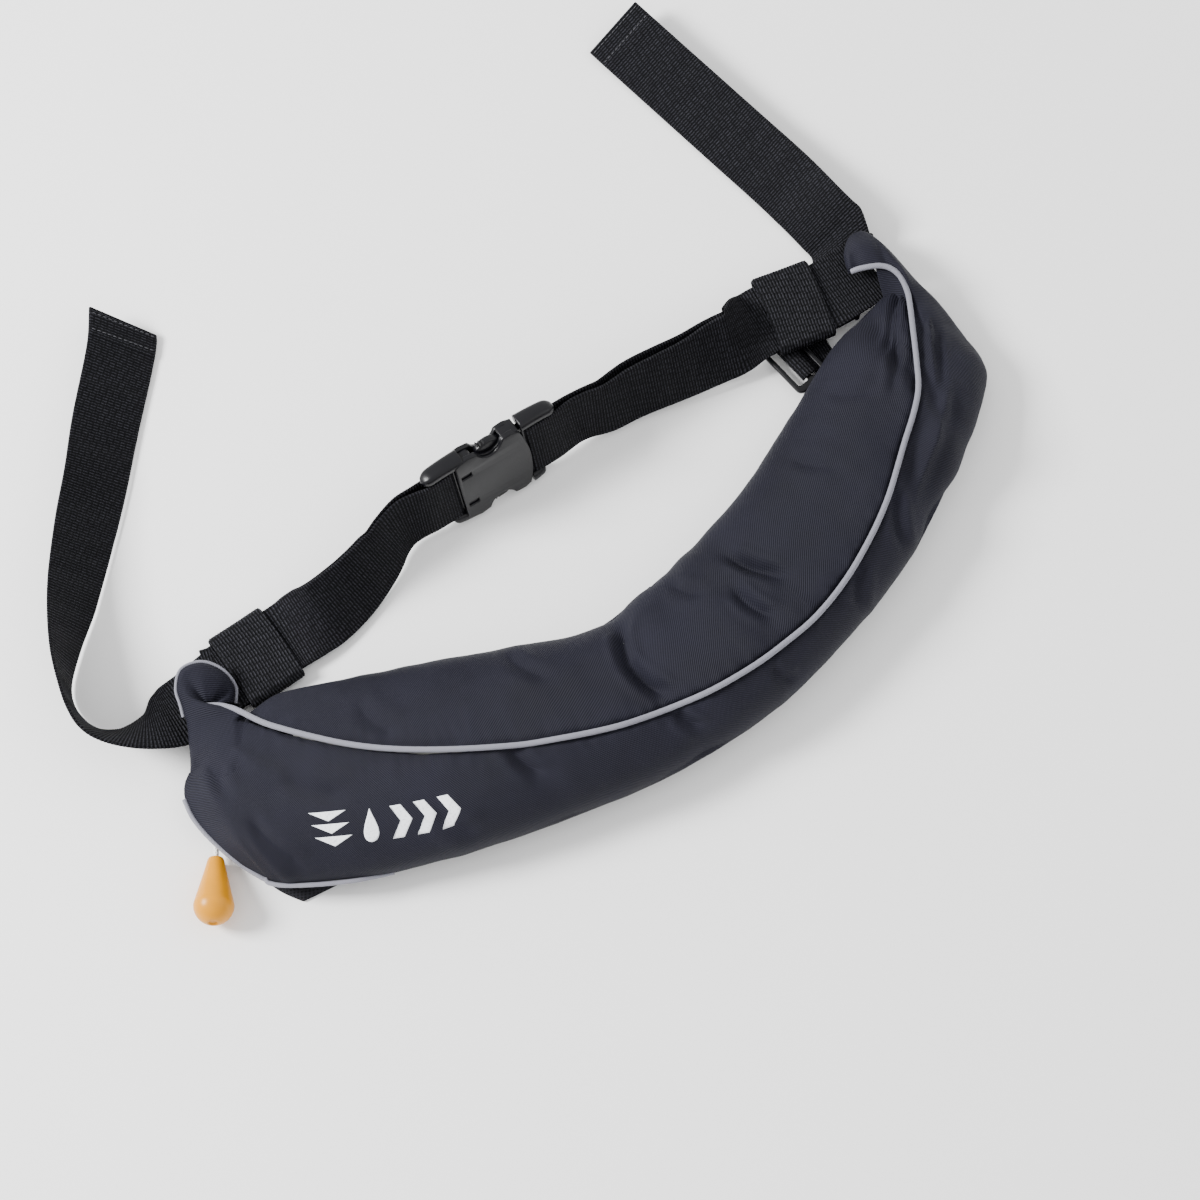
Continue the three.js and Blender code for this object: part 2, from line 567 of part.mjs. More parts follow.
// The free end: the last stretch is doubled over and sewn.
function hemmed(sections, slant = 0) {
  let run = 0;
  const lengths = sections.map((s, i) => (run += i ? s.edge.distanceTo(sections[i - 1].edge) : 0));
  return sections.map((section, i) => {
    const left = run - lengths[i];
    const back = slant * Math.max(1 - left / (3 * HEM_LENGTH), 0);
    const line = section.span.clone().multiplyScalar(WEBBING_WIDTH).addScaledVector(section.heading, -back);
    const thickness = left < HEM_LENGTH ? HEM_THICKNESS : WEBBING_THICKNESS;
    return { ...section, span: line.clone().normalize(), width: line.length(), thickness };
  });
}

function strap(sections) {
  const rings = sections.map(({ edge, span, normal, width, thickness }) => {
    const far = edge.clone().addScaledVector(span, width);
    const half = normal.clone().multiplyScalar(thickness / 2);
    return [edge.clone().add(half), far.clone().add(half), far.clone().sub(half), edge.clone().sub(half)];
  });
  return loft(rings);
}

// The buckle's own frame: x along the belt, y up its width, z out of the face that shows.
const LEFT_BAR = -BUCKLE_LENGTH / 2 + BUCKLE_RAIL + BUCKLE_BAR;
const RIGHT_BAR = LEFT_BAR + SOCKET_PLATE + PLUG_BAR_GAP;
const buckleMatrix = new THREE.Matrix4().makeRotationX(radians(BUCKLE_TILT)).setPosition(
  polar(BUCKLE_AT.turn, BUCKLE_AT.reach * INNER_RADIUS).setZ(
    (BUCKLE_WIDTH * Math.sin(radians(BUCKLE_TILT)) + BUCKLE_THICKNESS * Math.cos(radians(BUCKLE_TILT))) / 2,
  ),
);

// A place of a route in the buckle's own frame, at its bar or straight out from it.
function barRow(x) {
  const gap = BUCKLE_BAR + WEBBING_THICKNESS + 2 * FIT;
  const point = vector(x, -WEBBING_WIDTH / 2, gap / 2).applyMatrix4(buckleMatrix);
  const lift = point.z / WEBBING_THICKNESS;
  const turn = THREE.MathUtils.radToDeg(Math.atan2(point.x, -point.y)) / HALF_SWEEP;
  const extra = (gap - FLAT_GAP) / WEBBING_THICKNESS;
  return { turn, reach: 0, tilt: BUCKLE_TILT, lift, gap: extra, point: point.setZ(0) };
}

const leftFront = routeSections([...LEFT_FRONT, barRow(LEFT_BAR - BAR_RUN), barRow(LEFT_BAR)], 1);
const rightFront = routeSections([...RIGHT_FRONT, barRow(RIGHT_BAR + BAR_RUN), barRow(RIGHT_BAR)], -1);

// The layer behind, from the buckle's bar to its own end.
function backLayer(front, end) {
  const inner = (section) => Math.abs(section.turn) < end;
  return front.filter(inner).map(behind).reverse();
}

function leftWebbing() {
  const tail = hemmed(routeSections(LEFT_TAIL, -1), HEM_SLANT);
  const turned = tail.map((section) => ({ ...section, normal: section.normal.clone().negate() }));
  const back = backLayer(leftFront, LEFT_BACK_END);
  return strap([...leftFront, ...barTurn(leftFront.at(-1)), ...back, ...turned]);
}

// The tail's diagonal fold: from its heading h towards the side that the strap turns to.
function diagonalFold(last, outgoing) {
  const side = last.span.clone().setZ(0).normalize();
  const heading = last.heading.clone().negate();
  const up = vector(0, 0, 1);
  const radius = FLAT_GAP / 2;
  const { turn, reach } = sample(RIGHT_FRONT, "turn", FOLD_AT);
  const near = polar(turn, reach * INNER_RADIUS).setZ(last.edge.z);
  const slant = heading.clone().add(outgoing);
  slant.multiplyScalar(WEBBING_WIDTH / slant.dot(side));
  slant.z = WEBBING_WIDTH * last.span.z;
  const out = heading.clone().sub(outgoing).normalize();
  const section = (edge, line, away) => strapSection(edge, line.clone().normalize(), away, line.length());
  const roll = stations(0, Math.PI, 4).map((a) => {
    const away = up.clone().multiplyScalar(Math.cos(a)).addScaledVector(out, Math.sin(a));
    const edge = near.clone().addScaledVector(up, -radius).addScaledVector(away, radius);
    return section(edge, slant, away.negate());
  });
  const run = outgoing.clone().multiplyScalar(slant.dot(outgoing));
  const after = near.clone().addScaledVector(up, -2 * radius).add(run);
  return [...roll, section(after, slant.clone().sub(run), up)];
}

function rightWebbing() {
  const back = backLayer(rightFront, RIGHT_BACK_END);
  const tail = hemmed(routeSections(RIGHT_TAIL, -1));
  const fold = diagonalFold(back.at(-1), tail[0].heading);
  return strap([...rightFront, ...barTurn(rightFront.at(-1)), ...back, ...fold, ...tail]);
}

// The frame of a strap section: x along the belt, y across it, z away from the viewer's back.
function frameOf({ edge, span, normal }) {
  const x = span.clone().cross(normal).normalize();
  if (x.x < 0) x.negate();
  const y = normal.clone().cross(x);
  const matrix = new THREE.Matrix4().makeBasis(x, y, normal);
  return matrix.setPosition(edge.clone().addScaledVector(span, WEBBING_WIDTH / 2));
}

function sectionNear(sections, turn) {
  return sections.reduce((best, s) => (Math.abs(s.turn - turn) < Math.abs(best.turn - turn) ? s : best));
}

// A keeper: a flat loop of webbing round both layers of the belt.
function keeper(section) {
  const inside = WEBBING_WIDTH - KEEPER_TUCK;
  const loop = (width, height) => {
    const [w, h, r] = [width / 2, height / 2, height / 2];
    const outline = new THREE.Shape();
    outline.moveTo(-w, -h).lineTo(w, -h);
    outline.absarc(w, 0, r, -Math.PI / 2, Math.PI / 2, false);
    outline.lineTo(-w, h);
    outline.absarc(-w, 0, r, Math.PI / 2, (3 * Math.PI) / 2, false);
    return outline;
  };
  const outline = loop(inside, KEEPER_STACK + 2 * KEEPER_THICKNESS);
  outline.holes.push(loop(inside, KEEPER_STACK));
  const settings = { depth: KEEPER_LENGTH, bevelEnabled: false, curveSegments: 4 };
  const geometry = new THREE.ExtrudeGeometry(outline, settings);
  geometry.translate(0, 0, -KEEPER_LENGTH / 2).rotateY(Math.PI / 2).rotateX(Math.PI / 2);
  geometry.translate(0, 0, -section.gap / 2);
  return geometry.applyMatrix4(frameOf(section));
}

function plate(outline, thickness, bevel, curveSegments = 2) {
  const edge = { bevelThickness: bevel, bevelSize: bevel, bevelOffset: -bevel, bevelSegments: 1 };
  const depth = thickness - 2 * bevel;
  const geometry = new THREE.ExtrudeGeometry(outline, { depth, ...edge, curveSegments });
  return geometry.translate(0, 0, -thickness / 2 + bevel);
}

function rounded(x0, x1, y0, y1, r) {
  const outline = new THREE.Shape();
  outline.moveTo(x0 + r, y0).lineTo(x1 - r, y0);
  outline.absarc(x1 - r, y0 + r, r, -Math.PI / 2, 0, false);
  outline.lineTo(x1, y1 - r);
  outline.absarc(x1 - r, y1 - r, r, 0, Math.PI / 2, false);
  outline.lineTo(x0 + r, y1);
  outline.absarc(x0 + r, y1 - r, r, Math.PI / 2, Math.PI, false);
  outline.lineTo(x0, y0 + r);
  outline.absarc(x0 + r, y0 + r, r, Math.PI, (3 * Math.PI) / 2, false);
  return outline;
}

function bar(x) {
  const radius = BUCKLE_BAR / 2;
  return new THREE.CylinderGeometry(radius, radius, BUCKLE_WIDTH - BUCKLE_RAIL, 8).translate(x, 0, 0);
}

const rails = (x0, x1) =>
  [-1, 1].map((side) => {
    const [near, far] = [BUCKLE_WIDTH / 2 - BUCKLE_RAIL, BUCKLE_WIDTH / 2];
    const [y0, y1] = side > 0 ? [near, far] : [-far, -near];
    return plate(rounded(x0, x1, y0, y1, BUCKLE_RAIL * 0.45), BUCKLE_THICKNESS, EDGE_BEVEL);
  });

const PLATE_FROM = LEFT_BAR + 9;
const PLATE_TO = PLATE_FROM + SOCKET_PLATE;
const WINDOW = { from: PLATE_FROM + 14, to: PLATE_FROM + 30 };
const PRONG_LINE = BUCKLE_WIDTH / 2 - PRONG_INSET;

function buckleSocket() {
  const half = BUCKLE_WIDTH / 2;
  const outline = new THREE.Shape();
  outline.moveTo(PLATE_FROM, -half + 2).lineTo(PLATE_FROM + 8, -half).lineTo(WINDOW.from, -half + 1.5);
  outline.lineTo(WINDOW.to, -half + 1.5).lineTo(PLATE_TO - 6, -half + 2.5).lineTo(PLATE_TO - 2, -half + 5);
  outline.quadraticCurveTo(PLATE_TO + 2.5, 0, PLATE_TO - 2, half - 5);
  outline.lineTo(PLATE_TO - 6, half - 2.5).lineTo(WINDOW.to, half - 1.5).lineTo(WINDOW.from, half - 1.5);
  outline.lineTo(PLATE_FROM + 8, half).lineTo(PLATE_FROM, half - 2).closePath();
  const railEnd = PLATE_FROM + 5;
  const main = plate(outline, BUCKLE_THICKNESS, EDGE_BEVEL);
  const whole = geometryOf(join([main, ...rails(-BUCKLE_LENGTH / 2, railEnd), bar(LEFT_BAR)]));
  // The space for the prongs runs out through the end that the plug enters
  const length = PLATE_TO - WINDOW.from + SOCKET_CAVITY;
  const width = 2 * PRONG_LINE + PRONG_WIDTH + 2;
  const cavity = box(WINDOW.from + length / 2, 0, 0, length, width, SOCKET_CAVITY);
  const windows = [-1, 1].map((side) => {
    const middle = (WINDOW.from + WINDOW.to) / 2;
    const hole = new THREE.CylinderGeometry(1, 1, BUCKLE_THICKNESS * 2, 16).rotateX(Math.PI / 2);
    hole.scale((WINDOW.to - WINDOW.from) / 2, WINDOW_REACH, 1);
    return hole.translate(middle, side * (half + 0.5), 0);
  });
  const face = BUCKLE_THICKNESS / 2;
  const mark = box(PLATE_FROM + RECESS.inset, 0, face, RECESS.length, RECESS.width, 2 * RECESS.depth);
  const recesses = [-1, 1].map((side) => mark.clone().translate(0, side * RECESS.across, 0));
  return cut(whole, [cavity, ...windows, ...recesses]).applyMatrix4(buckleMatrix);
}

function bucklePlug() {
  const start = PLATE_TO + 1.6;
  const clear = SOCKET_CAVITY - 2 * FIT;
  const base = box(start + PLUG_BODY / 2 - 1, 0, 0, PLUG_BODY, BUCKLE_WIDTH - BUCKLE_RAIL, clear);
  const prongs = [-1, 1].map((side) => {
    const y = side * (PRONG_LINE - 0.5);
    const [tipAt, base] = [WINDOW.from + 5, start + 1];
    const tip = new THREE.CylinderGeometry(PRONG_WIDTH / 2, PRONG_WIDTH / 2, PRONG_THICKNESS, 8);
    tip.rotateX(Math.PI / 2).translate(tipAt, y, 0);
    return [box((tipAt + base) / 2, y, 0, base - tipAt, PRONG_WIDTH * 0.7, PRONG_THICKNESS), tip];
  });
  const guide = box(start - 14, 0, 0, 30, 6, PRONG_THICKNESS);
  const pieces = [base, ...prongs.flat(), guide, ...rails(start - 1, BUCKLE_LENGTH / 2), bar(RIGHT_BAR)];
  return geometryOf(join(pieces)).applyMatrix4(buckleMatrix);
}

// The slider: a flat frame with a middle bar, lying under the belt, and the strap through it.
function sliderMatrix() {
  const centre = polar(SLIDER_AT.turn, SLIDER_AT.reach * INNER_RADIUS);
  const turned = new THREE.Matrix4().makeRotationZ(radians(SLIDER_AT.heading));
  return turned.setPosition(centre.setZ(SLIDER_LIFT));
}

// The short strap that holds the slider: from the pouch, under the slider's side bar, up through the
// slot, over its middle bar and down again. x is from the middle bar, z from the slider's middle.
function sliderStrap() {
  const under = -SLIDER_LIFT + WEBBING_THICKNESS / 2 + 1.5 * FIT;
  const over = (SLIDER_THICKNESS + WEBBING_THICKNESS) / 2 + FIT;
  const slot = (SLIDER_WIDTH - 3 * SLIDER_BAR) / 2;
  const middle = (SLIDER_BAR + slot) / 2;
  const route = [
    vector(middle + slot + STRAP_REACH, 0, under),
    vector(middle + slot / 2, 0, under),
    vector(middle + slot * 0.15, 0, under * 0.5),
    vector(middle - slot * 0.12, 0, over * 0.6),
    vector(SLIDER_BAR * 0.6, 0, over),
    vector(-SLIDER_BAR * 0.5, 0, over),
    vector(-middle + slot * 0.1, 0, over * 0.35),
  ];
  const curve = new THREE.CatmullRomCurve3(route, false, "centripetal");
  const sections = stations(0, 1, 18).map((share) => {
    const heading = curve.getTangent(share);
    const point = curve.getPoint(share);
    point.y = -WEBBING_WIDTH / 2;
    // The end at the pouch is cut slantwise along the pouch's inner side.
    const slant = Math.max(1 - share * 4, 0) * STRAP_REACH * 0.9;
    const span = vector(slant, WEBBING_WIDTH, 0);
    return strapSection(point, span.clone().normalize(), vector(-heading.z, 0, heading.x), span.length());
  });
  return strap(sections).applyMatrix4(sliderMatrix());
}

function beltSlider() {
  const [l, w] = [SLIDER_LENGTH / 2, SLIDER_WIDTH / 2];
  const outline = rounded(-w, w, -l, l, 4);
  const slot = (SLIDER_WIDTH - 3 * SLIDER_BAR) / 2;
  for (const side of [-1, 1]) {
    const [middle, end] = [(side * (SLIDER_BAR + slot)) / 2, l - SLIDER_RAIL];
    outline.holes.push(rounded(middle - slot / 2, middle + slot / 2, -end, end, 1.2));
  }
  return plate(outline, SLIDER_THICKNESS, 0.6).applyMatrix4(sliderMatrix());
}

function toggle() {
  const r = TOGGLE_DIAMETER / 2;
  const neck = TOGGLE_NECK / 2;
  const profile = new THREE.Path();
  profile.moveTo(0, 0).lineTo(neck - 1, 0).lineTo(neck, 1);
  const ball = TOGGLE_LENGTH - r * 0.98; // the middle of its round end
  profile.bezierCurveTo(neck + 0.6, TOGGLE_LENGTH * 0.35, r, TOGGLE_LENGTH * 0.45, r, ball);
  profile.absarc(0, ball, r, 0, Math.PI * 0.4, false);
  profile.lineTo(2.2, TOGGLE_LENGTH - 1.2).lineTo(0, TOGGLE_LENGTH - 1.2);
  const points = profile.getPoints(5);
  points[0].x = 0;
  points[points.length - 1].x = 0;
  const geometry = new THREE.LatheGeometry(points, 14);
  const end = vector(...CORD_ROUTE.at(-1));
  const before = vector(...CORD_ROUTE.at(-2));
  const way = end.clone().sub(before).setZ(0).normalize();
  const lean = Math.asin((r - neck) / (TOGGLE_LENGTH - r));
  const axis = way.clone().multiplyScalar(Math.cos(lean)).add(vector(0, 0, Math.sin(lean)));
  geometry.applyQuaternion(new THREE.Quaternion().setFromUnitVectors(vector(0, 1, 0), axis));
  return geometry.translate(...end.addScaledVector(axis, 2 * FIT).toArray());
}

function inflator() {
  const { length, width, height } = INFLATOR;
  const [x, y] = CORD_ROUTE[0];
  const turned = plate(rounded(-width / 2, width / 2, -length / 2, length / 2, 4), height, 1.5);
  return turned.translate(x + width / 2 + 2 * FIT, y, FOOT + FIT + height / 2);
}

const pieces = {
  cover_upper_panel: [upperPanel(), "cover"],
  cover_lower_panel: [lowerPanel(), "cover"],
  back_panel: [backPanel(), "mesh"],
  left_ear: [ear(LEFT_EAR_RIM, LEFT_EAR_ROOT), "cover"],
  right_ear: [ear(RIGHT_EAR_RIM, RIGHT_EAR_ROOT), "cover"],
  front_piping: [frontPiping(), "piping"],
  edge_piping: [edgePiping(), "piping"],
  ear_piping: [earPiping(), "piping"],
  folded_bladder: [foldedBladder(), "filling"],
  inflator: [inflator(), "plastic"],
  pull_cord: [rod(CORD_ROUTE.map((p) => vector(...p)), CORD_DIAMETER, 8, 8), "cord"],
  pull_toggle: [toggle(), "toggle"],
  left_webbing: [leftWebbing(), "webbing"],
  right_webbing: [rightWebbing(), "webbing"],
  left_keeper: [keeper(sectionNear(leftFront, LEFT_KEEPER_AT)), "webbing"],
  right_keeper: [keeper(sectionNear(rightFront, RIGHT_KEEPER_AT)), "webbing"],
  belt_slider: [beltSlider(), "plastic"],
  slider_strap: [sliderStrap(), "webbing"],
  buckle_socket: [buckleSocket(), "plastic"],
  buckle_plug: [bucklePlug(), "plastic"],
};

const beltPack = new THREE.Group();
for (const [name, [geometry, finish]] of Object.entries(pieces)) {
  const material = new THREE.MeshStandardMaterial({ ...FINISHES[finish], metalness: 0 });
  const mesh = new THREE.Mesh(geometry, material);
  mesh.name = name;
  beltPack.add(mesh);
}

// The origin is the middle of the underside of the pack, without the cord and its toggle.
const extent = new THREE.Box3();
for (const mesh of beltPack.children) if (!mesh.name.startsWith("pull_")) extent.expandByObject(mesh);
const centre = extent.getCenter(new THREE.Vector3());
for (const mesh of beltPack.children) mesh.position.set(-centre.x, -centre.y, -extent.min.z);

export default beltPack;
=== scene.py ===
"""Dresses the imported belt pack: cloth pouch, piping, webbing, buckle, slider and pull cord.

Lengths here are in millimetres in the part's frame and become metres where a mesh is made.
"""
import json
import math

import bmesh
import bpy
from mathutils import Matrix, Vector, noise
from mathutils.bvhtree import BVHTree

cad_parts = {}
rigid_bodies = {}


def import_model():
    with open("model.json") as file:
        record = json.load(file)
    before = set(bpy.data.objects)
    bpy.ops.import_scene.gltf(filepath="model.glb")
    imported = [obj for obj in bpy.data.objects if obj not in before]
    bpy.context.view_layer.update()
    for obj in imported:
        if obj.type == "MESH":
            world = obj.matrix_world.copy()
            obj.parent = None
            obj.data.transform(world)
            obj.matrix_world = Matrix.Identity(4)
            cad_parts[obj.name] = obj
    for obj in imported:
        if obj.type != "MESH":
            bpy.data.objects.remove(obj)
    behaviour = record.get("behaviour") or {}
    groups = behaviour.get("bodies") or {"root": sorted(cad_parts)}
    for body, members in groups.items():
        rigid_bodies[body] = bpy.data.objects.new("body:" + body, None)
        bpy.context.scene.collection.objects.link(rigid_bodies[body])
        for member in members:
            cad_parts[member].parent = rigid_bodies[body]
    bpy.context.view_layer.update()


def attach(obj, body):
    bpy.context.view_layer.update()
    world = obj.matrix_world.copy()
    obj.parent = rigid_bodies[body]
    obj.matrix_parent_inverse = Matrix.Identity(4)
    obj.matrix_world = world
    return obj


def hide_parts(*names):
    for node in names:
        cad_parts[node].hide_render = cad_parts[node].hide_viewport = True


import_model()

MM = 0.001
OFFSET = Vector((11.44, 206.19, 0.0))  # from the bend's centre to the row's origin

# Sizes that the part's source sets
BEND_RADIUS = 356
BAND_WIDTH = 102
POUCH_DEPTH = 46
HALF_SWEEP = 43
CLOTH = 2
CLOTH_SHOWN = 1.5
TUCK_CLOTH = 1.2
PRINT_THICKNESS = 0.08
BACK_PANEL = 2.4
FOOT_TURN = 35
WIDEST_HEIGHT = 0.42
FIT = 0.3
FOOT = BACK_PANEL + FIT
INNER_RADIUS = BEND_RADIUS - BAND_WIDTH / 2
HALF_BAND = BAND_WIDTH / 2

PIPING_DIAMETER = 3.2
PIPING_LIFT = 0.9  # of its middle over the seam
EDGE_PIPING_DIAMETER = 2.5
RIM_PIPING_DIAMETER = 1.8
WEBBING_WIDTH = 39
WEBBING_THICKNESS = 1.6
FLAT_GAP = 2.1
HEM_LENGTH = 14
HEM_THICKNESS = 3
HEM_SLANT = 11
KEEPER_LENGTH = 33
KEEPER_THICKNESS = 1.6
KEEPER_TUCK = 0.8
KEEPER_STACK = FLAT_GAP + WEBBING_THICKNESS + 5 * FIT
FINE_RIB, COARSE_RIB = 1.62, 1.7  # from one rib of the weave to the next
STITCH_PITCH, STITCH_LENGTH, THREAD_THICKNESS = 3.0, 2.3, 0.55
HEM_SEAMS = (3, 14)  # rows of the ribbon, back from its end
KEEPER_LIFT = ((FLAT_GAP + KEEPER_STACK) / 2 + KEEPER_THICKNESS + FIT) / WEBBING_THICKNESS

BUCKLE_LENGTH = 84
BUCKLE_RAIL = 5.5
BUCKLE_THICKNESS = 11
BUCKLE_BAR = 4.4
BUCKLE_WIDTH = WEBBING_WIDTH + 2 + 2 * BUCKLE_RAIL
BUCKLE_TILT = 75
BUCKLE_AT = (-0.0735, 0.691)
BAR_RUN = 12
PLATE_FROM = -BUCKLE_LENGTH / 2 + BUCKLE_RAIL + BUCKLE_BAR + 9
PLATE_TO = PLATE_FROM + 44
LEFT_BAR = PLATE_FROM - 4.6
RIGHT_BAR = PLATE_TO + 3.4

CORD_DIAMETER = 2.8
TOGGLE_LENGTH = 38
TOGGLE_DIAMETER = 21.5
TOGGLE_NECK = 8.9
CORD_ROUTE = [
    (-217, -291, 8),
    (-229, -295.5, 6.8),
    (-238, -297.5, 6.4),
    (-242.7, -300.5, 6.2),
    (-245.2, -305.7, 5.9),
    (-248.3, -310.7, 5.4),
]

# Sections along the pouch: at, inner, outer, depth, seam, lean, bow
SECTIONS = [
    (-1.0, -0.27, 0.94, 0.26, -0.25, 2.2, 4.9),
    (-0.95, -0.52, 1.02, 0.44, -0.46, 1.9, 4.4),
    (-0.9, -0.72, 1.06, 0.56, -0.6, 1.3, 3.0),
    (-0.8, -0.95, 1.1, 0.7, -0.47, 0.6, 1.0),
    (-0.62, -1.06, 1.08, 0.85, -0.17, 0, 0),
    (-0.45, -1.06, 1.0, 0.95, 0.05, 0, 0),
    (-0.25, -0.96, 0.96, 1.0, 0.29, 0, 0),
    (-0.08, -0.78, 0.99, 0.98, 0.47, 0, 0),
    (0.1, -0.86, 1.01, 1.0, 0.6, 0, 0),
    (0.3, -0.9, 0.97, 0.98, 0.64, 0, 0),
    (0.5, -0.97, 0.91, 0.92, 0.48, 0, 0),
    (0.66, -0.98, 0.84, 0.85, 0.28, 0.2, 0),
    (0.8, -0.93, 0.83, 0.76, 0.13, 1.0, -0.2),
    (0.9, -0.72, 0.8, 0.64, -0.1, 1.9, -0.1),
    (0.96, -0.54, 0.76, 0.54, -0.26, 2.4, 0),
    (1.0, -0.36, 0.66, 0.4, -0.28, 2.7, 0.2),
]

# Wide dents: at, across, length, width (shares of the band), depth (share of the pouch), heading
DENTS = [
    (-0.04, -0.25, 0.42, 0.1, 0.11, 8),
    (0.27, -0.25, 0.3, 0.09, 0.08, -14),
    (0.2, 0.1, 0.26, 0.08, 0.06, -6),
    (-0.31, 0.5, 0.22, 0.09, 0.06, -20),
    (-0.02, 0.75, 0.2, 0.09, 0.06, -12),
    (0.1, -0.7, 0.3, 0.12, 0.05, 20),
    (0.86, -0.42, 0.3, 0.07, 0.1, 24),
    (0.74, 0.55, 0.34, 0.1, -0.06, 26),
    (0.62, 0.72, 0.3, 0.1, 0.06, 24),
]

# Folds of the cloth, from one place to another: at, across, at, across, width and depth in mm
CREASES = [
    (-0.028, -0.72, -0.059, -0.21, 3.2, 3.0),
    (-0.061, -0.25, -0.03, 0.36, 3.4, 3.4),
    (0.25, -0.55, 0.3, 0.12, 3.2, 3.0),
    (0.205, -0.16, 0.225, 0.36, 3.0, 2.6),
    (-0.339, 0.2, -0.298, 0.6, 3.2, 2.4),
    (-0.03, 0.57, -0.003, 0.84, 2.6, 2.2),
    (0.84, -0.4, 0.98, -0.84, 2.0, 2.4),
    (0.82, -0.25, 0.955, -0.66, 2.2, 2.0),
    (0.76, -0.1, 0.9, -0.4, 2.6, 1.6),
    (1.0, -0.1, 0.8, 0.46, 3.0, -2.6),
    (0.95, 0.1, 0.74, 0.62, 3.4, 1.8),
    (0.84, 0.5, 0.6, 0.76, 4.0, -2.6),
    (0.58, 0.5, 0.5, 0.9, 3.2, 2.2),
    (0.42, 0.66, 0.36, 0.92, 3.0, 1.8),
    (-0.62, -0.6, -0.55, -0.25, 4.5, 1.2),
    (-0.28, -0.85, -0.22, -0.4, 4.2, 1.3),
    (-0.78, 0.05, -0.66, 0.3, 4.5, 1.5),
    (-0.86, 0.5, -0.76, 0.92, 4.2, 2.0),
    (-0.95, -0.3, -0.9, 0.25, 3.4, 2.0),
    (-0.91, -0.35, -0.76, 0.1, 4.2, -1.5),
    (0.12, -0.8, 0.15, -0.35, 3.8, 1.3),
    (0.52, -0.7, 0.56, -0.2, 4.2, 1.2),
    (0.7, -0.75, 0.75, -0.3, 3.6, 1.2),
    (-0.5, 0.62, -0.44, 0.9, 3.4, 1.4),
    (0.16, 0.74, 0.18, 0.95, 2.6, 1.6),
]

# Belt routes: turn, reach, tilt, lift, gap
LEFT_FRONT = [
    (-0.935, 1.049, 0, 0.83 * KEEPER_LIFT, 0),
    (-0.9, 1.036, 0, 0.9 * KEEPER_LIFT, 0),
    (-0.862, 1.014, 0, KEEPER_LIFT, 0),
    (-0.79, 0.973, 0, KEEPER_LIFT, 0),
    (-0.745, 0.948, 0, KEEPER_LIFT, 0),
    (-0.71, 0.934, 9, 0.88 * KEEPER_LIFT, 0),
    (-0.65, 0.908, 33, 1.9, 0),
    (-0.56, 0.856, 47, 1.3, 0),
    (-0.47, 0.795, 60, 1.8, 0),
    (-0.405, 0.748, 70, 2.4, 0.4),
]
RIGHT_FRONT = [
    (1.03, 1.09, 5, 7.6, 0),
    (0.985, 1.06, 5, 7.7, 0),
    (0.955, 1.04, 6, 7.9, 0),
    (0.915, 1.014, 6, 7.9, 0),
    (0.873, 0.977, 6, 7.9, 0),
    (0.82, 0.937, 6, 7.9, 0),
    (0.787, 0.92, 6, 7.9, 0),
    (0.757, 0.905, 28, 6.1, 0.3),
    (0.72, 0.89, 46, 4.8, 0.8),
    (0.665, 0.86, 52, 3.8, 1.5),
    (0.595, 0.827, 60, 3.0, 2.2),
    (0.52, 0.796, 64, 2.7, 2.7),
    (0.445, 0.77, 67, 2.5, 2.6),
    (0.35, 0.748, 71, 2.4, 1.9),
    (0.262, 0.724, 74, 3.2, 0.9),
]
LEFT_TAIL = [
    (-0.94, 1.075, 0, 0.75),
    (-0.99, 1.115, -13, 0.7),
    (-1.056, 1.149, -40, 0.7),
    (-1.13, 1.161, -60, 0.7),
    (-1.185, 1.152, -70, 0.7),
    (-1.23, 1.123, -82, 0.7),
    (-1.272, 1.082, -87, 0.7),
    (-1.32, 1.031, -77, 0.7),
    (-1.39, 0.95, -58, 0.7),
    (-1.49, 0.827, -43, 0.7),
    (-1.575, 0.731, -37, 0.7),
    (-1.68, 0.648, -31, 0.7),
    (-1.9, 0.52, -27, 0.8),
    (-2.04, 0.48, -24, 1.05),
]
RIGHT_TAIL = [
    (1.105, 0.933, 26, 0.8),
    (1.155, 0.895, 32, 0.7),
    (1.24, 0.834, 26, 0.7),
    (1.39, 0.745, 21, 0.7),
    (1.58, 0.667, 21, 0.7),
    (1.76, 0.617, 21, 0.85),
    (1.97, 0.58, 20, 1.05),
]
ROUTE_STEP = 7
LEFT_KEEPER_AT = -0.815
RIGHT_KEEPER_AT = 0.862
LEFT_BACK_END = 0.9
RIGHT_BACK_END = 0.94
FOLD_AT = 0.95

# Ears, from the pouch's end round the rim: rim's turn, reach and rise, root's turn, reach and rise
# (a rise of 0 stands for the pouch's own surface)
LEFT_EAR = [
    (-0.93, 0.45, 0.2, -0.84, 0.4, 0),
    (-0.965, 0.17, 0.22, -0.845, 0.16, 0),
    (-0.972, -0.1, 0.29, -0.85, -0.1, 0),
    (-0.984, -0.34, 0.35, -0.85, -0.4, 0),
    (-0.994, -0.5, 0.38, -0.86, -0.61, 0.54),
    (-1.002, -0.58, 0.4, -0.89, -0.68, 0.5),
    (-1.012, -0.68, 0.42, -0.928, -0.725, 0.43),
    (-1.03, -0.83, 0.46, -0.96, -0.72, 0.37),
    (-1.03, -1.04, 0.48, -0.961, -0.725, 0.35),
    (-0.99, -1.16, 0.46, -0.96, -0.73, 0.35),
    (-0.94, -1.13, 0.38, -0.958, -0.735, 0.34),
    (-0.908, -1.0, 0.26, -0.956, -0.735, 0.34),
    (-0.905, -0.84, 0.2, -0.945, -0.74, 0.33),
]
LEFT_RIM_PIPING_FROM = 5
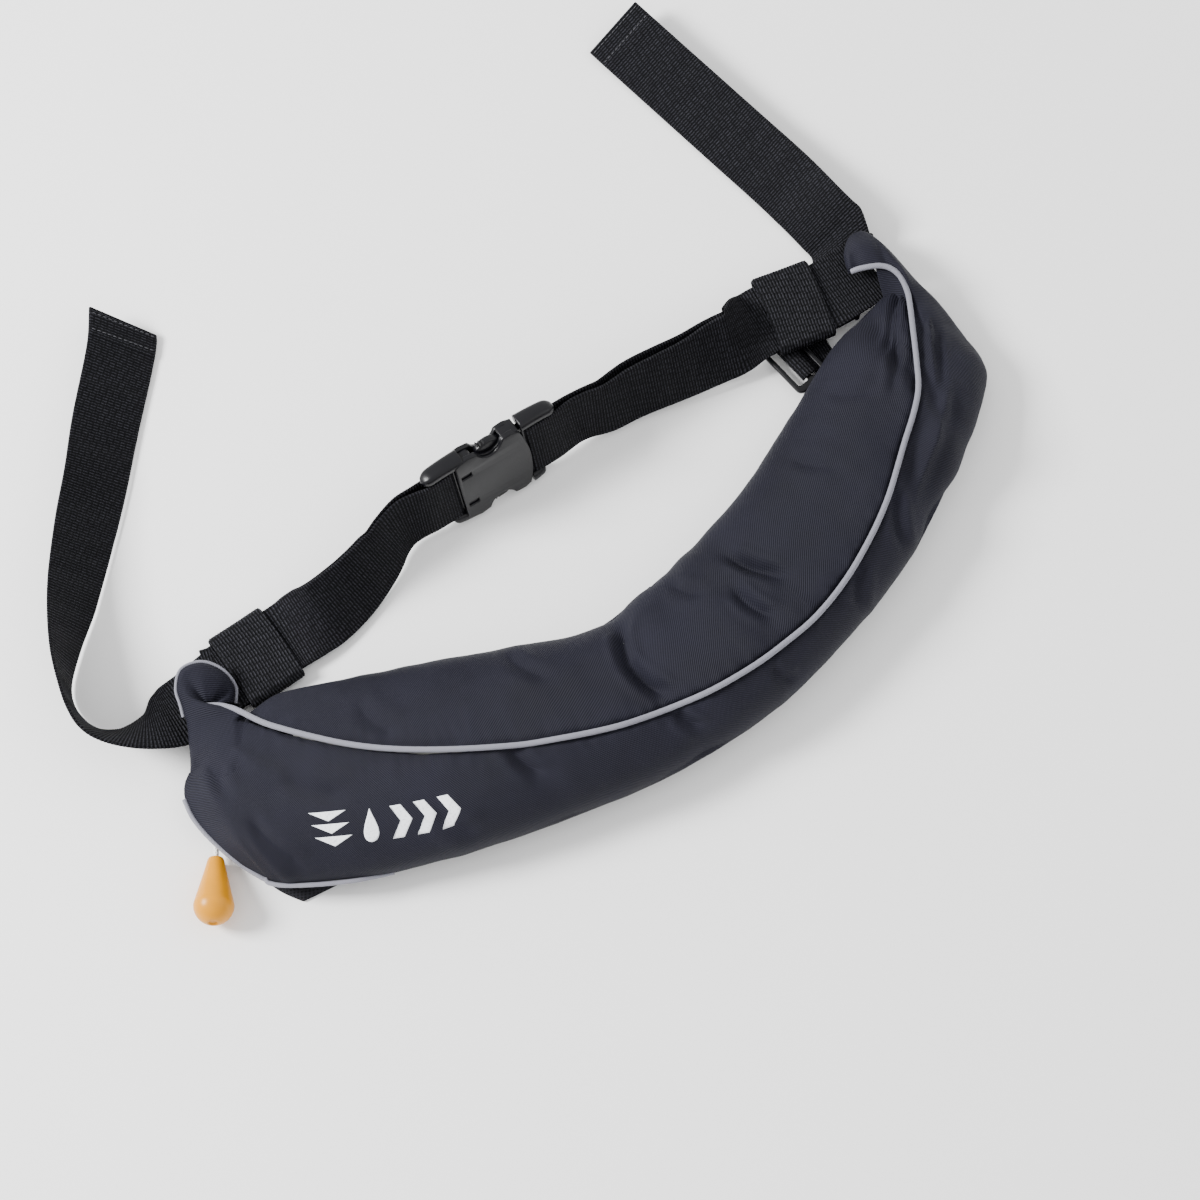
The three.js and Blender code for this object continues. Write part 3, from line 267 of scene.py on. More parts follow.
RIGHT_EAR = [
    (0.9, 0.62, 0.3, 0.83, 0.4, 0),
    (0.95, 0.5, 0.3, 0.86, 0.2, 0),
    (0.985, 0.28, 0.35, 0.9, 0.02, 0),
    (1.02, 0.05, 0.4, 0.955, -0.17, 0.58),
    (1.055, -0.22, 0.44, 1.005, -0.28, 0.54),
    (1.1, -0.5, 0.48, 1.043, -0.4, 0.55),
    (1.14, -0.74, 0.49, 1.06, -0.53, 0.56),
    (1.155, -0.9, 0.48, 1.061, -0.66, 0.56),
    (1.135, -1.03, 0.47, 1.053, -0.79, 0.54),
    (1.09, -1.06, 0.43, 1.045, -0.9, 0.5),
    (1.055, -1.0, 0.4, 1.038, -0.97, 0.43),
]
# Folds of the ears, in shares of the way round: at, width, depth in mm
LEFT_EAR_CREASES = [(0.93, 0.035, 3.0), (0.66, 0.05, 1.4), (0.33, 0.06, 1.6), (0.48, 0.04, -1.0)]
RIGHT_EAR_CREASES = [(0.62, 0.05, 1.8), (0.35, 0.05, 1.6), (0.47, 0.04, -1.5), (0.85, 0.05, 1.6)]
EAR_STEPS = 12
radians = math.radians
UP = Vector((0, 0, 1))
ALONG = radians(HALF_SWEEP) * BEND_RADIUS  # half the length of the pouch's middle line


# ---------- shared helpers ----------


def hermite(p, p_slope, q, q_slope, t):
    """A cubic from p to q with the given slopes at its ends."""
    t2, t3 = t * t, t * t * t
    return p * (2 * t3 - 3 * t2 + 1) + p_slope * (t3 - 2 * t2 + t) + q * (3 * t2 - 2 * t3) + q_slope * (t3 - t2)


def sample(table, at):
    """Reads a table between its rows with a smooth curve through them, by its first column."""
    rising = table[0][0] < table[-1][0]
    i = next((k for k, row in enumerate(table) if (row[0] >= at if rising else row[0] <= at)), len(table) - 1)
    i = max(i, 1)
    a, b = table[i - 1], table[i]
    before, after = table[max(i - 2, 0)], table[min(i + 1, len(table) - 1)]
    span = b[0] - a[0]
    row = []
    for k in range(len(a)):
        start = (b[k] - before[k]) / (b[0] - before[0]) * span
        end = (after[k] - a[k]) / (after[0] - a[0]) * span
        row.append(hermite(a[k], start, b[k], end, (at - a[0]) / span))
    return row


def stations(start, end, steps):
    return [start + (end - start) * i / steps for i in range(steps + 1)]


def polar(turn, radius):
    a = radians(turn * HALF_SWEEP)
    return Vector((radius * math.sin(a), -radius * math.cos(a), 0))


def runs_of(points):
    """The length of a line up to each of its points."""
    runs = [0.0]
    for p, q in zip(points, points[1:]):
        runs.append(runs[-1] + (q - p).length)
    return runs


def circle(sides):
    return [2 * math.pi * k / sides for k in range(sides)]


def mirrored(outline):
    """A closed outline turned over about the x axis, in the same sense."""
    return [(x, -y) for x, y in outline[::-1]]


def placed(name, data):
    obj = bpy.data.objects.new(name, data)
    bpy.context.scene.collection.objects.link(obj)
    return obj


def gaps_of(points):
    return [max((q - p).length, 1e-6) for p, q in zip(points, points[1:])]


def spline_at(values, gaps, i, t):
    """A smooth line through values that lie gaps apart, at the share t of its stretch i."""
    gap, p, q = gaps[i], values[i], values[i + 1]
    start = (q - values[i - 1]) / (gap + gaps[i - 1]) * gap if i else q - p
    end = (values[i + 2] - p) / (gap + gaps[i + 1]) * gap if i + 1 < len(gaps) else q - p
    return hermite(p, start, q, end, t)


def catmull(points, steps):
    """A smooth line through points, by chord length."""
    gaps = gaps_of(points)
    line = [spline_at(points, gaps, i, k / steps) for i in range(len(gaps)) for k in range(steps)]
    return line + [points[-1].copy()]


def evenly(points, count):
    """The same line, read at even lengths."""
    runs = runs_of(points)
    out, k = [], 0
    for i in range(count + 1):
        want = runs[-1] * i / count
        while k + 2 < len(runs) and runs[k + 1] < want:
            k += 1
        share = (want - runs[k]) / max(runs[k + 1] - runs[k], 1e-9)
        out.append(points[k].lerp(points[k + 1], min(share, 1)))
    return out


def finish_mesh(name, points, faces, uvs=None, material=None):
    mesh = bpy.data.meshes.new(name)
    mesh.from_pydata([(p + OFFSET) * MM for p in points], [], faces)
    if uvs:
        layer = mesh.uv_layers.new(name="cloth")
        for loop in mesh.loops:
            layer.data[loop.index].uv = uvs[loop.vertex_index]
    mesh.polygons.foreach_set("use_smooth", [True] * len(mesh.polygons))
    mesh.update()
    if material:
        mesh.materials.append(material)
    return placed(name, mesh)


def grid(name, rows, uvs=None, material=None, ring=False, caps=0):
    """A surface from rows of points. ring closes each row, and caps closes the last row or both end rows."""
    wide = len(rows[0])
    points = [p for row in rows for p in row]
    faces = []
    for i in range(len(rows) - 1):
        for j in range(wide if ring else wide - 1):
            a, b = i * wide + j, i * wide + (j + 1) % wide
            faces.append((a, b, b + wide, a + wide))
    if caps == 2:
        faces.append(tuple(reversed(range(wide))))
    if caps:
        faces.append(tuple(range((len(rows) - 1) * wide, len(rows) * wide)))
    flat_uvs = [uv for row in uvs for uv in row] if uvs else None
    return finish_mesh(name, points, faces, flat_uvs, material)


def outward(obj, weld=False):
    """Turns the faces of a closed mesh outwards, once its doubled points are welded."""
    work = bmesh.new()
    work.from_mesh(obj.data)
    if weld:
        bmesh.ops.remove_doubles(work, verts=work.verts, dist=1e-6)
    bmesh.ops.recalc_face_normals(work, faces=work.faces)
    work.to_mesh(obj.data)
    work.free()
    return obj


def upward(obj):
    """Turns the faces of a sheet to the side that lies uppermost."""
    if sum(p.normal.z * p.area for p in obj.data.polygons) < 0:
        obj.data.flip_normals()
    return obj


def area_of(obj):
    return sum(p.area for p in obj.data.polygons)


def thickened(obj, thickness):
    """Gives a sheet its thickness, to the side away from its normals."""
    modifier = obj.modifiers.new("thickness", "SOLIDIFY")
    modifier.thickness = thickness * MM
    modifier.offset = -1
    graph = bpy.context.evaluated_depsgraph_get()
    mesh = bpy.data.meshes.new_from_object(obj.evaluated_get(graph))
    obj.modifiers.clear()
    obj.data = mesh
    return obj


def joined(name, objects):
    """Makes one object of several."""
    work = bmesh.new()
    for obj in objects:
        work.from_mesh(obj.data)
    mesh = bpy.data.meshes.new(name)
    work.to_mesh(mesh)
    work.free()
    for material in objects[0].data.materials:
        mesh.materials.append(material)
    for obj in objects:
        bpy.data.objects.remove(obj)
    mesh.polygons.foreach_set("use_smooth", [True] * len(mesh.polygons))
    return placed(name, mesh)


def tube(name, points, diameter, material, sides=12, wobble=0.0):
    """A closed round tube along points, with braid lengths in its coordinates."""
    rows, uvs, run = [], [], 0.0
    side = None
    for i, point in enumerate(points):
        heading = (points[min(i + 1, len(points) - 1)] - points[max(i - 1, 0)]).normalized()
        side = UP.cross(heading) if side is None else side - heading * side.dot(heading)
        side.normalize()
        up = heading.cross(side)
        if i:
            run += (point - points[i - 1]).length
        radius = diameter / 2 * (1 + wobble * math.sin(run * 1.7) * math.sin(run * 0.53))
        angles = circle(sides)
        rows.append([point + (side * math.cos(a) + up * math.sin(a)) * radius for a in angles])
        uvs.append([(run, a * diameter / 2) for a in angles])
    return outward(grid(name, rows, uvs, material, ring=True, caps=2))


def stitches(name, line, normals, pitch, length, material, thread):
    """A row of sewn stitches lying along a line on a surface."""
    points, faces = [], []
    count = max(int(runs_of(line)[-1] / pitch), 1)
    even = evenly(line, count * 4)
    even_normals = evenly(normals, count * 4)
    for i in range(count):
        centre, normal = even[i * 4 + 2], even_normals[i * 4 + 2].normalized()
        along = (even[i * 4 + 3] - even[i * 4 + 1]).normalized()
        side = normal.cross(along)
        base = len(points)
        for share in (-1, -0.6, 0, 0.6, 1):
            fat = thread / 2 * (1 - share * share * 0.75)
            lift = (0.3 - 0.55 * share * share) * thread
            middle = centre + along * (share * length / 2) + normal * lift
            for k in range(6):
                a = k * math.pi / 3
                points.append(middle + (side * math.cos(a) + normal * math.sin(a)) * fat)
        for row in range(4):
            for k in range(6):
                a, b = base + row * 6 + k, base + row * 6 + (k + 1) % 6
                faces.append((a, b, b + 6, a + 6))
        faces.append(tuple(base + k for k in reversed(range(6))))
        faces.append(tuple(base + 24 + k for k in range(6)))
    return finish_mesh(name, points, faces, None, material)


# ---------- materials ----------


class Nodes:
    """Short names for building a shader."""

    def __init__(self, name, color, roughness, **settings):
        self.material = bpy.data.materials.new(name)
        self.material.use_nodes = True
        self.tree = self.material.node_tree
        self.shader = self.tree.nodes["Principled BSDF"]
        self.shader.inputs["Base Color"].default_value = (*color, 1)
        self.shader.inputs["Roughness"].default_value = roughness
        for key, value in settings.items():
            self.shader.inputs[key.replace("_", " ")].default_value = value
        self.material.diffuse_color = (*color, 1)

    def add(self, kind, **settings):
        node = self.tree.nodes.new(kind)
        for key, value in settings.items():
            if key in node.inputs:
                node.inputs[key].default_value = value
            else:
                setattr(node, key, value)
        return node

    def link(self, start, end):
        self.tree.links.new(start, end)

    def math(self, operation, *values):
        node = self.add("ShaderNodeMath", operation=operation)
        for socket, value in zip(node.inputs, values):
            if isinstance(value, (int, float)):
                socket.default_value = value
            else:
                self.link(value, socket)
        return node.outputs[0]

    def cloth(self):
        """The mesh's own coordinates, in millimetres along and across the cloth."""
        split = self.add("ShaderNodeSeparateXYZ")
        self.link(self.add("ShaderNodeUVMap", uv_map="cloth").outputs[0], split.inputs[0])
        return split.outputs[0], split.outputs[1]

    def wave(self, value, period):
        """A wave from 0 to 1 along a coordinate."""
        turned = self.math("MULTIPLY", value, 2 * math.pi / period)
        return self.math("MULTIPLY_ADD", self.math("SINE", turned), 0.5, 0.5)

    def noise(self, scale, detail=3.0, roughness=0.55):
        place = self.add("ShaderNodeTexCoord").outputs["Object"]
        node = self.add("ShaderNodeTexNoise", Scale=scale, Detail=detail, Roughness=roughness)
        self.link(place, node.inputs["Vector"])
        return node.outputs["Fac"]

    def blend(self, factor, first, second):
        node = self.add("ShaderNodeMix", data_type="RGBA")
        self.link(factor, node.inputs["Factor"])
        for index, value in ((6, first), (7, second)):
            if isinstance(value, tuple):
                node.inputs[index].default_value = (*value, 1)
            else:
                self.link(value, node.inputs[index])
        return node.outputs[2]

    def ramp(self, value, low, high):
        node = self.add("ShaderNodeMapRange")
        self.link(value, node.inputs["Value"])
        node.inputs["From Min"].default_value = low
        node.inputs["From Max"].default_value = high
        return node.outputs[0]

    def bump(self, height, distance, strength=1.0, before=None):
        node = self.add("ShaderNodeBump", Strength=strength, Distance=distance * MM)
        self.link(height, node.inputs["Height"])
        if before is not None:
            self.link(before, node.inputs["Normal"])
        return node.outputs[0]

    def feed(self, **sockets):
        """Links sockets to the shader's inputs of these names."""
        for key, socket in sockets.items():
            self.link(socket, self.shader.inputs[key.replace("_", " ")])
        return self.material


def twill(name, dark, light, period=1.5):
    n = Nodes(name, dark, 0.62, Specular_IOR_Level=0.13, Sheen_Weight=0.015, Sheen_Roughness=0.4)
    along, across = n.cloth()
    diagonal = n.wave(n.math("ADD", along, across), period)
    thread = n.wave(n.math("SUBTRACT", along, across), period * 0.62)
    weave = n.math("MULTIPLY_ADD", thread, 0.35, diagonal)
    patch = n.ramp(n.noise(26, 4), 0.3, 0.75)
    mixed = n.blend(n.math("MULTIPLY", weave, 0.75), dark, light)
    worn = n.blend(n.math("MULTIPLY", patch, 0.35), mixed, tuple(c * 1.5 for c in light))
    slow = n.bump(n.noise(90, 3), 0.5, 0.35)
    rough = n.math("MULTIPLY_ADD", patch, 0.14, 0.55)
    return n.feed(Base_Color=worn, Roughness=rough, Normal=n.bump(weave, 0.3, 0.8, slow))


def ribbed(name, dark, light, rib=FINE_RIB, cross=1.9, rough=0.72):
    """Webbing: ribs across the band with the weave's short floats between them."""
    n = Nodes(name, dark, rough, Specular_IOR_Level=0.1)
    along, across = n.cloth()
    ribs = n.wave(along, rib)
    floats = n.wave(across, cross)
    skew = n.wave(n.math("ADD", along, n.math("MULTIPLY", across, 0.5)), cross)
    grain = n.math("MULTIPLY", n.math("MAXIMUM", floats, skew), ribs)
    patch = n.math("MULTIPLY_ADD", n.ramp(n.noise(420, 2), 0.35, 0.7), 0.7, 0.5)
    flecks = n.math("MULTIPLY", n.math("POWER", grain, 1.6), patch)
    height = n.math("MULTIPLY_ADD", grain, 0.6, ribs)
    return n.feed(Base_Color=n.blend(flecks, dark, light), Normal=n.bump(height, 0.5, 0.8))


def knitted(name, dark, light, period=2.2):
    n = Nodes(name, dark, 0.9, Specular_IOR_Level=0.25)
    along, across = n.cloth()
    cells = n.math("MULTIPLY", n.wave(along, period), n.wave(across, period * 0.8))
    return n.feed(Base_Color=n.blend(cells, light, dark), Normal=n.bump(cells, -0.6, 0.8))


def braided(name, dark, light, period=2.0, rough=0.6):
    n = Nodes(name, light, rough, Sheen_Weight=0.15)
    along, across = n.cloth()
    one = n.wave(n.math("ADD", along, across), period)
    two = n.wave(n.math("SUBTRACT", along, across), period)
    strands = n.math("MAXIMUM", one, two)
    tone = n.blend(n.math("POWER", strands, 0.7), dark, light)
    return n.feed(Base_Color=tone, Normal=n.bump(strands, 0.3, 0.7))


def moulded(name, color, rough, grain=0.06):
    n = Nodes(name, color, rough, Specular_IOR_Level=0.26, Coat_Roughness=0.12)
    spread = n.ramp(n.noise(60, 3), 0.2, 0.8)
    tone = n.blend(spread, color, tuple(min(c * 1.25, 1) for c in color))
    gloss = n.math("MULTIPLY_ADD", spread, 0.1, rough)
    return n.feed(Roughness=gloss, Base_Color=tone, Normal=n.bump(n.noise(1800, 2), grain, 0.5))


def printed(name):
    n = Nodes(name, (0.78, 0.8, 0.84), 0.5)
    spread = n.ramp(n.noise(900, 3), 0.32, 0.5)
    tone = n.blend(spread, (0.6, 0.62, 0.66), (0.82, 0.84, 0.88))
    return n.feed(Base_Color=tone, Normal=n.bump(n.noise(1500, 2), 0.1, 0.5))


COVER = twill("cover_twill", (0.0018, 0.0018, 0.0036), (0.0135, 0.0135, 0.0225))
MESH = knitted("back_mesh", (0.002, 0.002, 0.003), (0.012, 0.012, 0.016))
BINDING = ribbed("binding_tape", (0.004, 0.004, 0.006), (0.02, 0.02, 0.026), 0.9, 1.4)
WEBBING = ribbed("webbing_black", (0.0012, 0.0012, 0.0018), (0.032, 0.032, 0.04))
COARSE = ribbed("webbing_coarse", (0.0015, 0.0015, 0.0022), (0.035, 0.035, 0.043), COARSE_RIB, 2.0)
PIPING = braided("piping_grey", (0.1, 0.1, 0.125), (0.2, 0.2, 0.24), 1.1)
CORD = braided("cord_white", (0.45, 0.45, 0.45), (0.86, 0.86, 0.84), 2.2)
THREAD = braided("sewing_thread", (0.01, 0.01, 0.012), (0.05, 0.05, 0.06), 0.5)
PLASTIC = moulded("buckle_black", (0.0022, 0.0022, 0.0034), 0.26)
TOGGLE = moulded("toggle_orange", (0.5, 0.2, 0.0), 0.3, 0.015)
PRINT = printed("cover_print")
FILLING = knitted("filling_cloth", (0.25, 0.25, 0.24), (0.35, 0.35, 0.33))


# ---------- camera and cord ----------

AZIMUTH, ELEVATION, DISTANCE = radians(-33), radians(70), 1890
AIM = Vector((0, -298, -OFFSET.z))


def make_camera():
    data = bpy.data.cameras.new("camera")
    data.lens = 105
    data.sensor_width = 36
    data.clip_end = 50
    camera = placed("camera", data)
    flat = math.cos(ELEVATION)
    back = Vector((math.sin(AZIMUTH) * flat, -math.cos(AZIMUTH) * flat, math.sin(ELEVATION)))
    camera.location = (AIM + OFFSET + back * DISTANCE) * MM
    camera.rotation_euler = back.to_track_quat("Z", "Y").to_euler()
    bpy.context.scene.camera = camera


make_camera()

cord_points = catmull([Vector(p) for p in CORD_ROUTE], 8)
cord_line = evenly(cord_points, 36)
cord = tube("cord", cord_line, CORD_DIAMETER, CORD, 20)


def make_toggle():
    """The teardrop grip, turned about its own axis."""
    r, neck, length = TOGGLE_DIAMETER / 2, TOGGLE_NECK / 2, TOGGLE_LENGTH
    profile = [(1.7, 0.6), (2.2, 0.1), (neck - 1.0, 0), (neck - 0.35, 0.25), (neck, 1)]
    c0, c1, c2, c3 = (neck, 1), (neck + 2.2, length * 0.3), (r - 1.4, length * 0.55), (r, length - r * 0.98)
    for t in stations(0, 1, 22)[1:]:
        u = 1 - t
        weights = (u**3, 3 * u * u * t, 3 * u * t * t, t**3)
        profile.append(tuple(sum(w * c for w, c in zip(weights, corners)) for corners in zip(c0, c1, c2, c3)))
    for a in stations(0, 0.42 * math.pi, 14)[1:]:
        profile.append((r * math.cos(a), length - r * 0.98 + r * math.sin(a)))
    r, top = profile[-1]
    profile += [(r - 0.25, top - 0.15), (r - 0.45, top - 0.6), (2.0, top - 0.9), (0.6, top - 0.9)]
    end, before = Vector(CORD_ROUTE[-1]), Vector(CORD_ROUTE[-2])
    way = end - before
    way.z = 0
    way.normalize()
    lean = math.asin((TOGGLE_DIAMETER / 2 - neck) / (length - TOGGLE_DIAMETER / 2))
    axis = way * math.cos(lean) + UP * math.sin(lean)
    side = axis.cross(UP).normalized()
    up = side.cross(axis)
    start = end + axis * (2 * FIT)
    rows = []
    for radius, along in profile:
        centre = start + axis * along
        rows.append([centre + (side * math.cos(a) + up * math.sin(a)) * radius for a in circle(56)])
    return outward(grid("toggle", rows, None, TOGGLE, ring=True, caps=2))


toggle = make_toggle()


# ---------- the cover ----------


def dent_depth(at, across):
    """Wide dents of the filled pouch."""
    depth = 0.0
    for d_at, d_across, length, width, deep, heading in DENTS:
        along = (at - d_at) * ALONG
        over = (across - d_across) * HALF_BAND
        a = radians(heading)
        u = (along * math.cos(a) + over * math.sin(a)) / (width * BAND_WIDTH)
        v = (over * math.cos(a) - along * math.sin(a)) / (length * BAND_WIDTH)
        q = u * u + v * v
        if q < 9:
            depth += deep * POUCH_DEPTH * math.exp(-q)
    return depth


def crease_depth(at, across):
    """Folds of the cloth: a groove between two soft ridges."""
    depth = 0.0
    s, t = at * ALONG, across * HALF_BAND
    for a0, q0, a1, q1, width, deep in CREASES:
        x0, y0, x1, y1 = a0 * ALONG, q0 * HALF_BAND, a1 * ALONG, q1 * HALF_BAND
        dx, dy = x1 - x0, y1 - y0
        length = math.hypot(dx, dy)
        share = ((s - x0) * dx + (t - y0) * dy) / (length * length)
        if share < -0.3 or share > 1.3:
            continue
        off = ((s - x0) * dy - (t - y0) * dx) / length
        if abs(off) > 5 * width:
            continue
        bend = off + 0.45 * width * math.sin(share * 3.1)
        fade = math.exp(-((max(abs(share - 0.5) - 0.28, 0) / 0.2) ** 2))
        groove = math.exp(-((abs(bend) / width) ** 1.4))
        ridges = math.exp(-(((abs(bend) - 2 * width) / (1.1 * width)) ** 2))
        depth += 1.25 * deep * fade * (groove - 0.45 * ridges)
    return depth


def across_of(angle):
    c = math.cos(angle)
    return math.copysign(abs(c) ** 0.8, c)


def angle_of(across):
    return math.acos(math.copysign(abs(across) ** 1.25, across))


def seam_angle(at):
    row = sample(SECTIONS, at)
    share = row[4] / (-row[1] if row[4] < 0 else row[2])
    return angle_of(max(-0.97, min(0.97, share)))


def cover_point(at, angle, inset=0.0, detail=True):
    _, inner, outer, deep, _, lean, bow = sample(SECTIONS, max(-1, min(1, at)))
    q = across_of(angle)
    rise = math.sin(angle)
    dent = inset + (dent_depth(at, q) if rise > 0 else 0)
    if detail:
        dent += crease_depth(at, q) * min(1, max(rise + 0.6, 0))
        s, t = at * ALONG, q * HALF_BAND
        dent += 0.9 * noise.noise(Vector((s / 38, t / 30, 2.7)))
        dent += 0.32 * noise.noise(Vector((s / 13, t / 10, 5.1)))
    side = -inner if q < 0 else outer
    end = math.copysign(1, at) * (lean * -q - bow * q * q)
    if at < -0.8:
        # The cord end is drawn in at its middle
        end += 1.9 * (-at - 0.8) / 0.2 * math.exp(-(((q + 0.3) / 0.42) ** 2))
    radius = BEND_RADIUS + q * side * HALF_BAND - math.cos(angle) * dent
    depth = deep * POUCH_DEPTH
    widest = max(WIDEST_HEIGHT * depth, FOOT + CLOTH)
    if rise > 0:
        height = widest + (depth - widest) * rise**0.85 - rise * dent
    else:
        height = FOOT + (widest - FOOT) * (1 + rise / math.sin(radians(FOOT_TURN)))
    point = polar(at + end / HALF_SWEEP, radius)
    point.z = max(height, FOOT)
    return point


INNER_FOOT = math.pi + radians(FOOT_TURN)
OUTER_FOOT = -radians(FOOT_TURN)


def raised(at, angle, distance, detail=True):
    """A point that stands off the cover by a distance."""
    step = 0.004
    along = cover_point(at + step, angle, 0, detail) - cover_point(at - step, angle, 0, detail)
    around = cover_point(at, angle + step * 3, 0, detail) - cover_point(at, angle - step * 3, 0, detail)
    return cover_point(at, angle, 0, detail) + along.cross(around).normalized() * distance


PANEL_COLUMNS = 520
SEAM_OPENING = 0.012  # radians between each panel's edge and the seam
SEAM_CROWDING = 1.35
SEAM_SPREAD, FOOT_SPREAD = 46, 30  # mm of cloth for each radian, near the seam and near the foot


def cover_panel(name, upper):
    """One cloth panel of the pouch, drawn in to its seam with small puckers."""
    rows, uvs = [], []
    steps = 64 if upper else 56
    foot = INNER_FOOT if upper else OUTER_FOOT
    for at in stations(-1, 1, PANEL_COLUMNS):
        seam = seam_angle(at)
        start, end = (INNER_FOOT, seam + SEAM_OPENING) if upper else (seam - SEAM_OPENING, OUTER_FOOT)
        row, uv, run = [], [], 0.0
        for k, share in enumerate(stations(0, 1, steps)):
            # More rows of points near the seam
            eased = 1 - (1 - share) ** SEAM_CROWDING if upper else share**SEAM_CROWDING
            angle = start + (end - start) * eased
            gap = abs(angle - seam) * SEAM_SPREAD
            foot_gap = abs(angle - foot) * FOOT_SPREAD
            s = at * ALONG
            pucker = noise.noise(Vector((s / 4.2, gap / 9, 9.3 if upper else 4.4)))
            tuck = 2.1 * math.exp(-((gap / 2.6) ** 2)) + 0.8 * pucker * math.exp(-((gap / 7.5) ** 2))
            hem = 0.8 * noise.noise(Vector((s / 5.5, 0.4, 7.7))) * math.exp(-((foot_gap / 8) ** 2))
            point = cover_point(at, angle, tuck + hem)
            row.append(point)
            if k:
                run += (point - row[k - 1]).length
            uv.append((s, run if upper else -run))
        rows.append(row)
        uvs.append(uv)
    obj = upward(grid(name, rows, uvs, COVER))
    area = area_of(obj)
    return thickened(obj, CLOTH_SHOWN), area


upper_cover, upper_area = cover_panel("upper_cover", True)
lower_cover, lower_area = cover_panel("lower_cover", False)


edge_line = [cover_point(-1, angle, 0, False) for angle in stations(1.35, 0.3, 24)]
outwards = polar(-1, 1).cross(UP)
edge_line = [p + outwards * 0.4 for p in edge_line]
edge_line += [raised(at, 0.02, 1.1, False) for at in stations(-0.975, -0.58, 120)]
for k, point in enumerate(edge_line[-24:]):
    point.z -= 0.16 * k
    point.y += 0.08 * k
edge_line = evenly(catmull(edge_line[::4], 6), 220)
edge_piping = tube("lower_edge_piping", edge_line, EDGE_PIPING_DIAMETER, PIPING, 12, 0.03)


# ---------- the back ----------


def make_back():
    """The mesh back: a thin pad with a bound edge, and the corner of its flap at the cord end."""
    flap_from, flap_to, flap_peak, flap_reach = -0.9, -0.65, -0.765, 0.13

    def flap(at):
        rising = (at - flap_from) / (flap_peak - flap_from)
        share = rising if at < flap_peak else (flap_to - at) / (flap_to - flap_peak)
        return flap_reach * max(share, 0) * BAND_WIDTH

    near_edge, far_edge = [], []
    for at in stations(-0.99, 0.99, 420):
        near = cover_point(at, INNER_FOOT, 0, False)
        far = cover_point(at, OUTER_FOOT, 0, False)
        near.z = far.z = 0
        bulge = 2.6 * math.exp(-(((at - 0.45) / 0.3) ** 2))
        near = near * ((near.length - 1 - bulge) / near.length)
        far = far * ((far.length + 1 + flap(at)) / far.length)
        near_edge.append(near)
        far_edge.append(far)
    rows, uvs = [], []
    steps = 26
    for n, f in zip(near_edge, far_edge):
        width = (f - n).length
        ring, uv = [], []
        for top in (True, False):
            for share in stations(0, 1, steps) if top else stations(1, 0, steps):
                rim = min(share, 1 - share)
                p = n.lerp(f, share)
                p.z = 0.7 + 1.5 * min(1, rim * 8) if top else 0.35 if rim == 0 else 0.0
                ring.append(p)
                uv.append((len(rows) * 1.27, share * width))
        rows.append(ring)
        uvs.append(uv)
    panel = outward(grid("mesh_back", rows, uvs, MESH, ring=True, caps=2))
    lift = Vector((0, 0, 1.35))
    binding = [p + lift for p in near_edge]
    tape = tube("back_binding", evenly(binding, 500), 2.5, BINDING, 10, 0.06)
    return panel, tape


mesh_back, back_binding = make_back()


# ---------- ears ----------


def ear_point(row):
    along, reach, rise = row
    point = polar(along, BEND_RADIUS + reach * HALF_BAND)
    point.z = rise * POUCH_DEPTH
    return point


def tree_of(*objects):
    points, faces = [], []
    for obj in objects:
        base = len(points)
        points += [v.co.copy() for v in obj.data.vertices]
        faces += [[base + k for k in p.vertices] for p in obj.data.polygons]
    return BVHTree.FromPolygons(points, faces)


def top_of(tree, point):
    """The height of the highest surface over a place, or None."""
    start = (Vector((point.x, point.y, 90)) + OFFSET) * MM
    hit = tree.ray_cast(start, Vector((0, 0, -1)))[0]
    return None if hit is None else hit.z / MM - OFFSET.z


def make_ear(name, table, tree, creases, bulge):
    """The pouch's cloth carried on past its end: a sheet from the roots to the rim, with folds."""
    rims = catmull([ear_point(row[:3]) for row in table], EAR_STEPS)
    roots = []
    for row in table:
        root = ear_point(row[3:])
        if row[5] == 0:
            root.z = (top_of(tree, root) or 12) - 0.9
        roots.append(root)
    roots = catmull(roots, EAR_STEPS)
    count = len(rims) - 1
    rows, uvs = [], []
    for i, (rim, root) in enumerate(zip(rims, roots)):
        turn = i / count
        row, uv = [], []
        for share in stations(0, 1, 30):
            place = root.lerp(rim, share)
            opened = min(turn * 5, 1)
            place.z += bulge * opened * math.sin(math.pi * share) ** 0.8
            for at, width, deep in creases:
                groove = math.exp(-(((turn - at) / width) ** 2))
                place.z -= deep * groove * math.sin(math.pi * min(0.12 + share, 1))
            place.z += 0.6 * noise.noise(Vector((turn * 11, share * 3, 1.2)))
            under = top_of(tree, place)
            if under is not None:
                shown = min(share * 4, 1) * opened
                place.z = (under - 1.2) * (1 - shown) + max(place.z, under + 0.8) * shown
            place.z -= 1.0 * (max(share - 0.88, 0) / 0.12) ** 2
            row.append(place)
            uv.append((place.x * 0.93 + place.y * 0.36, place.y * 0.93 - place.x * 0.36))
        rows.append(row)
        uvs.append(uv)
    obj = upward(grid(name, rows, uvs, COVER))
    area = area_of(obj)
    return thickened(obj, CLOTH_SHOWN), area, [row[-1] for row in rows], roots


pouch_tree = tree_of(upper_cover, lower_cover)
left_flap, left_ear_area, left_rim, left_roots = make_ear(
    "left_ear_cloth", LEFT_EAR, pouch_tree, LEFT_EAR_CREASES, 3.4
)
right_flap, right_ear_area, _, right_roots = make_ear(
    "right_ear_cloth", RIGHT_EAR, pouch_tree, RIGHT_EAR_CREASES, 3.6
)

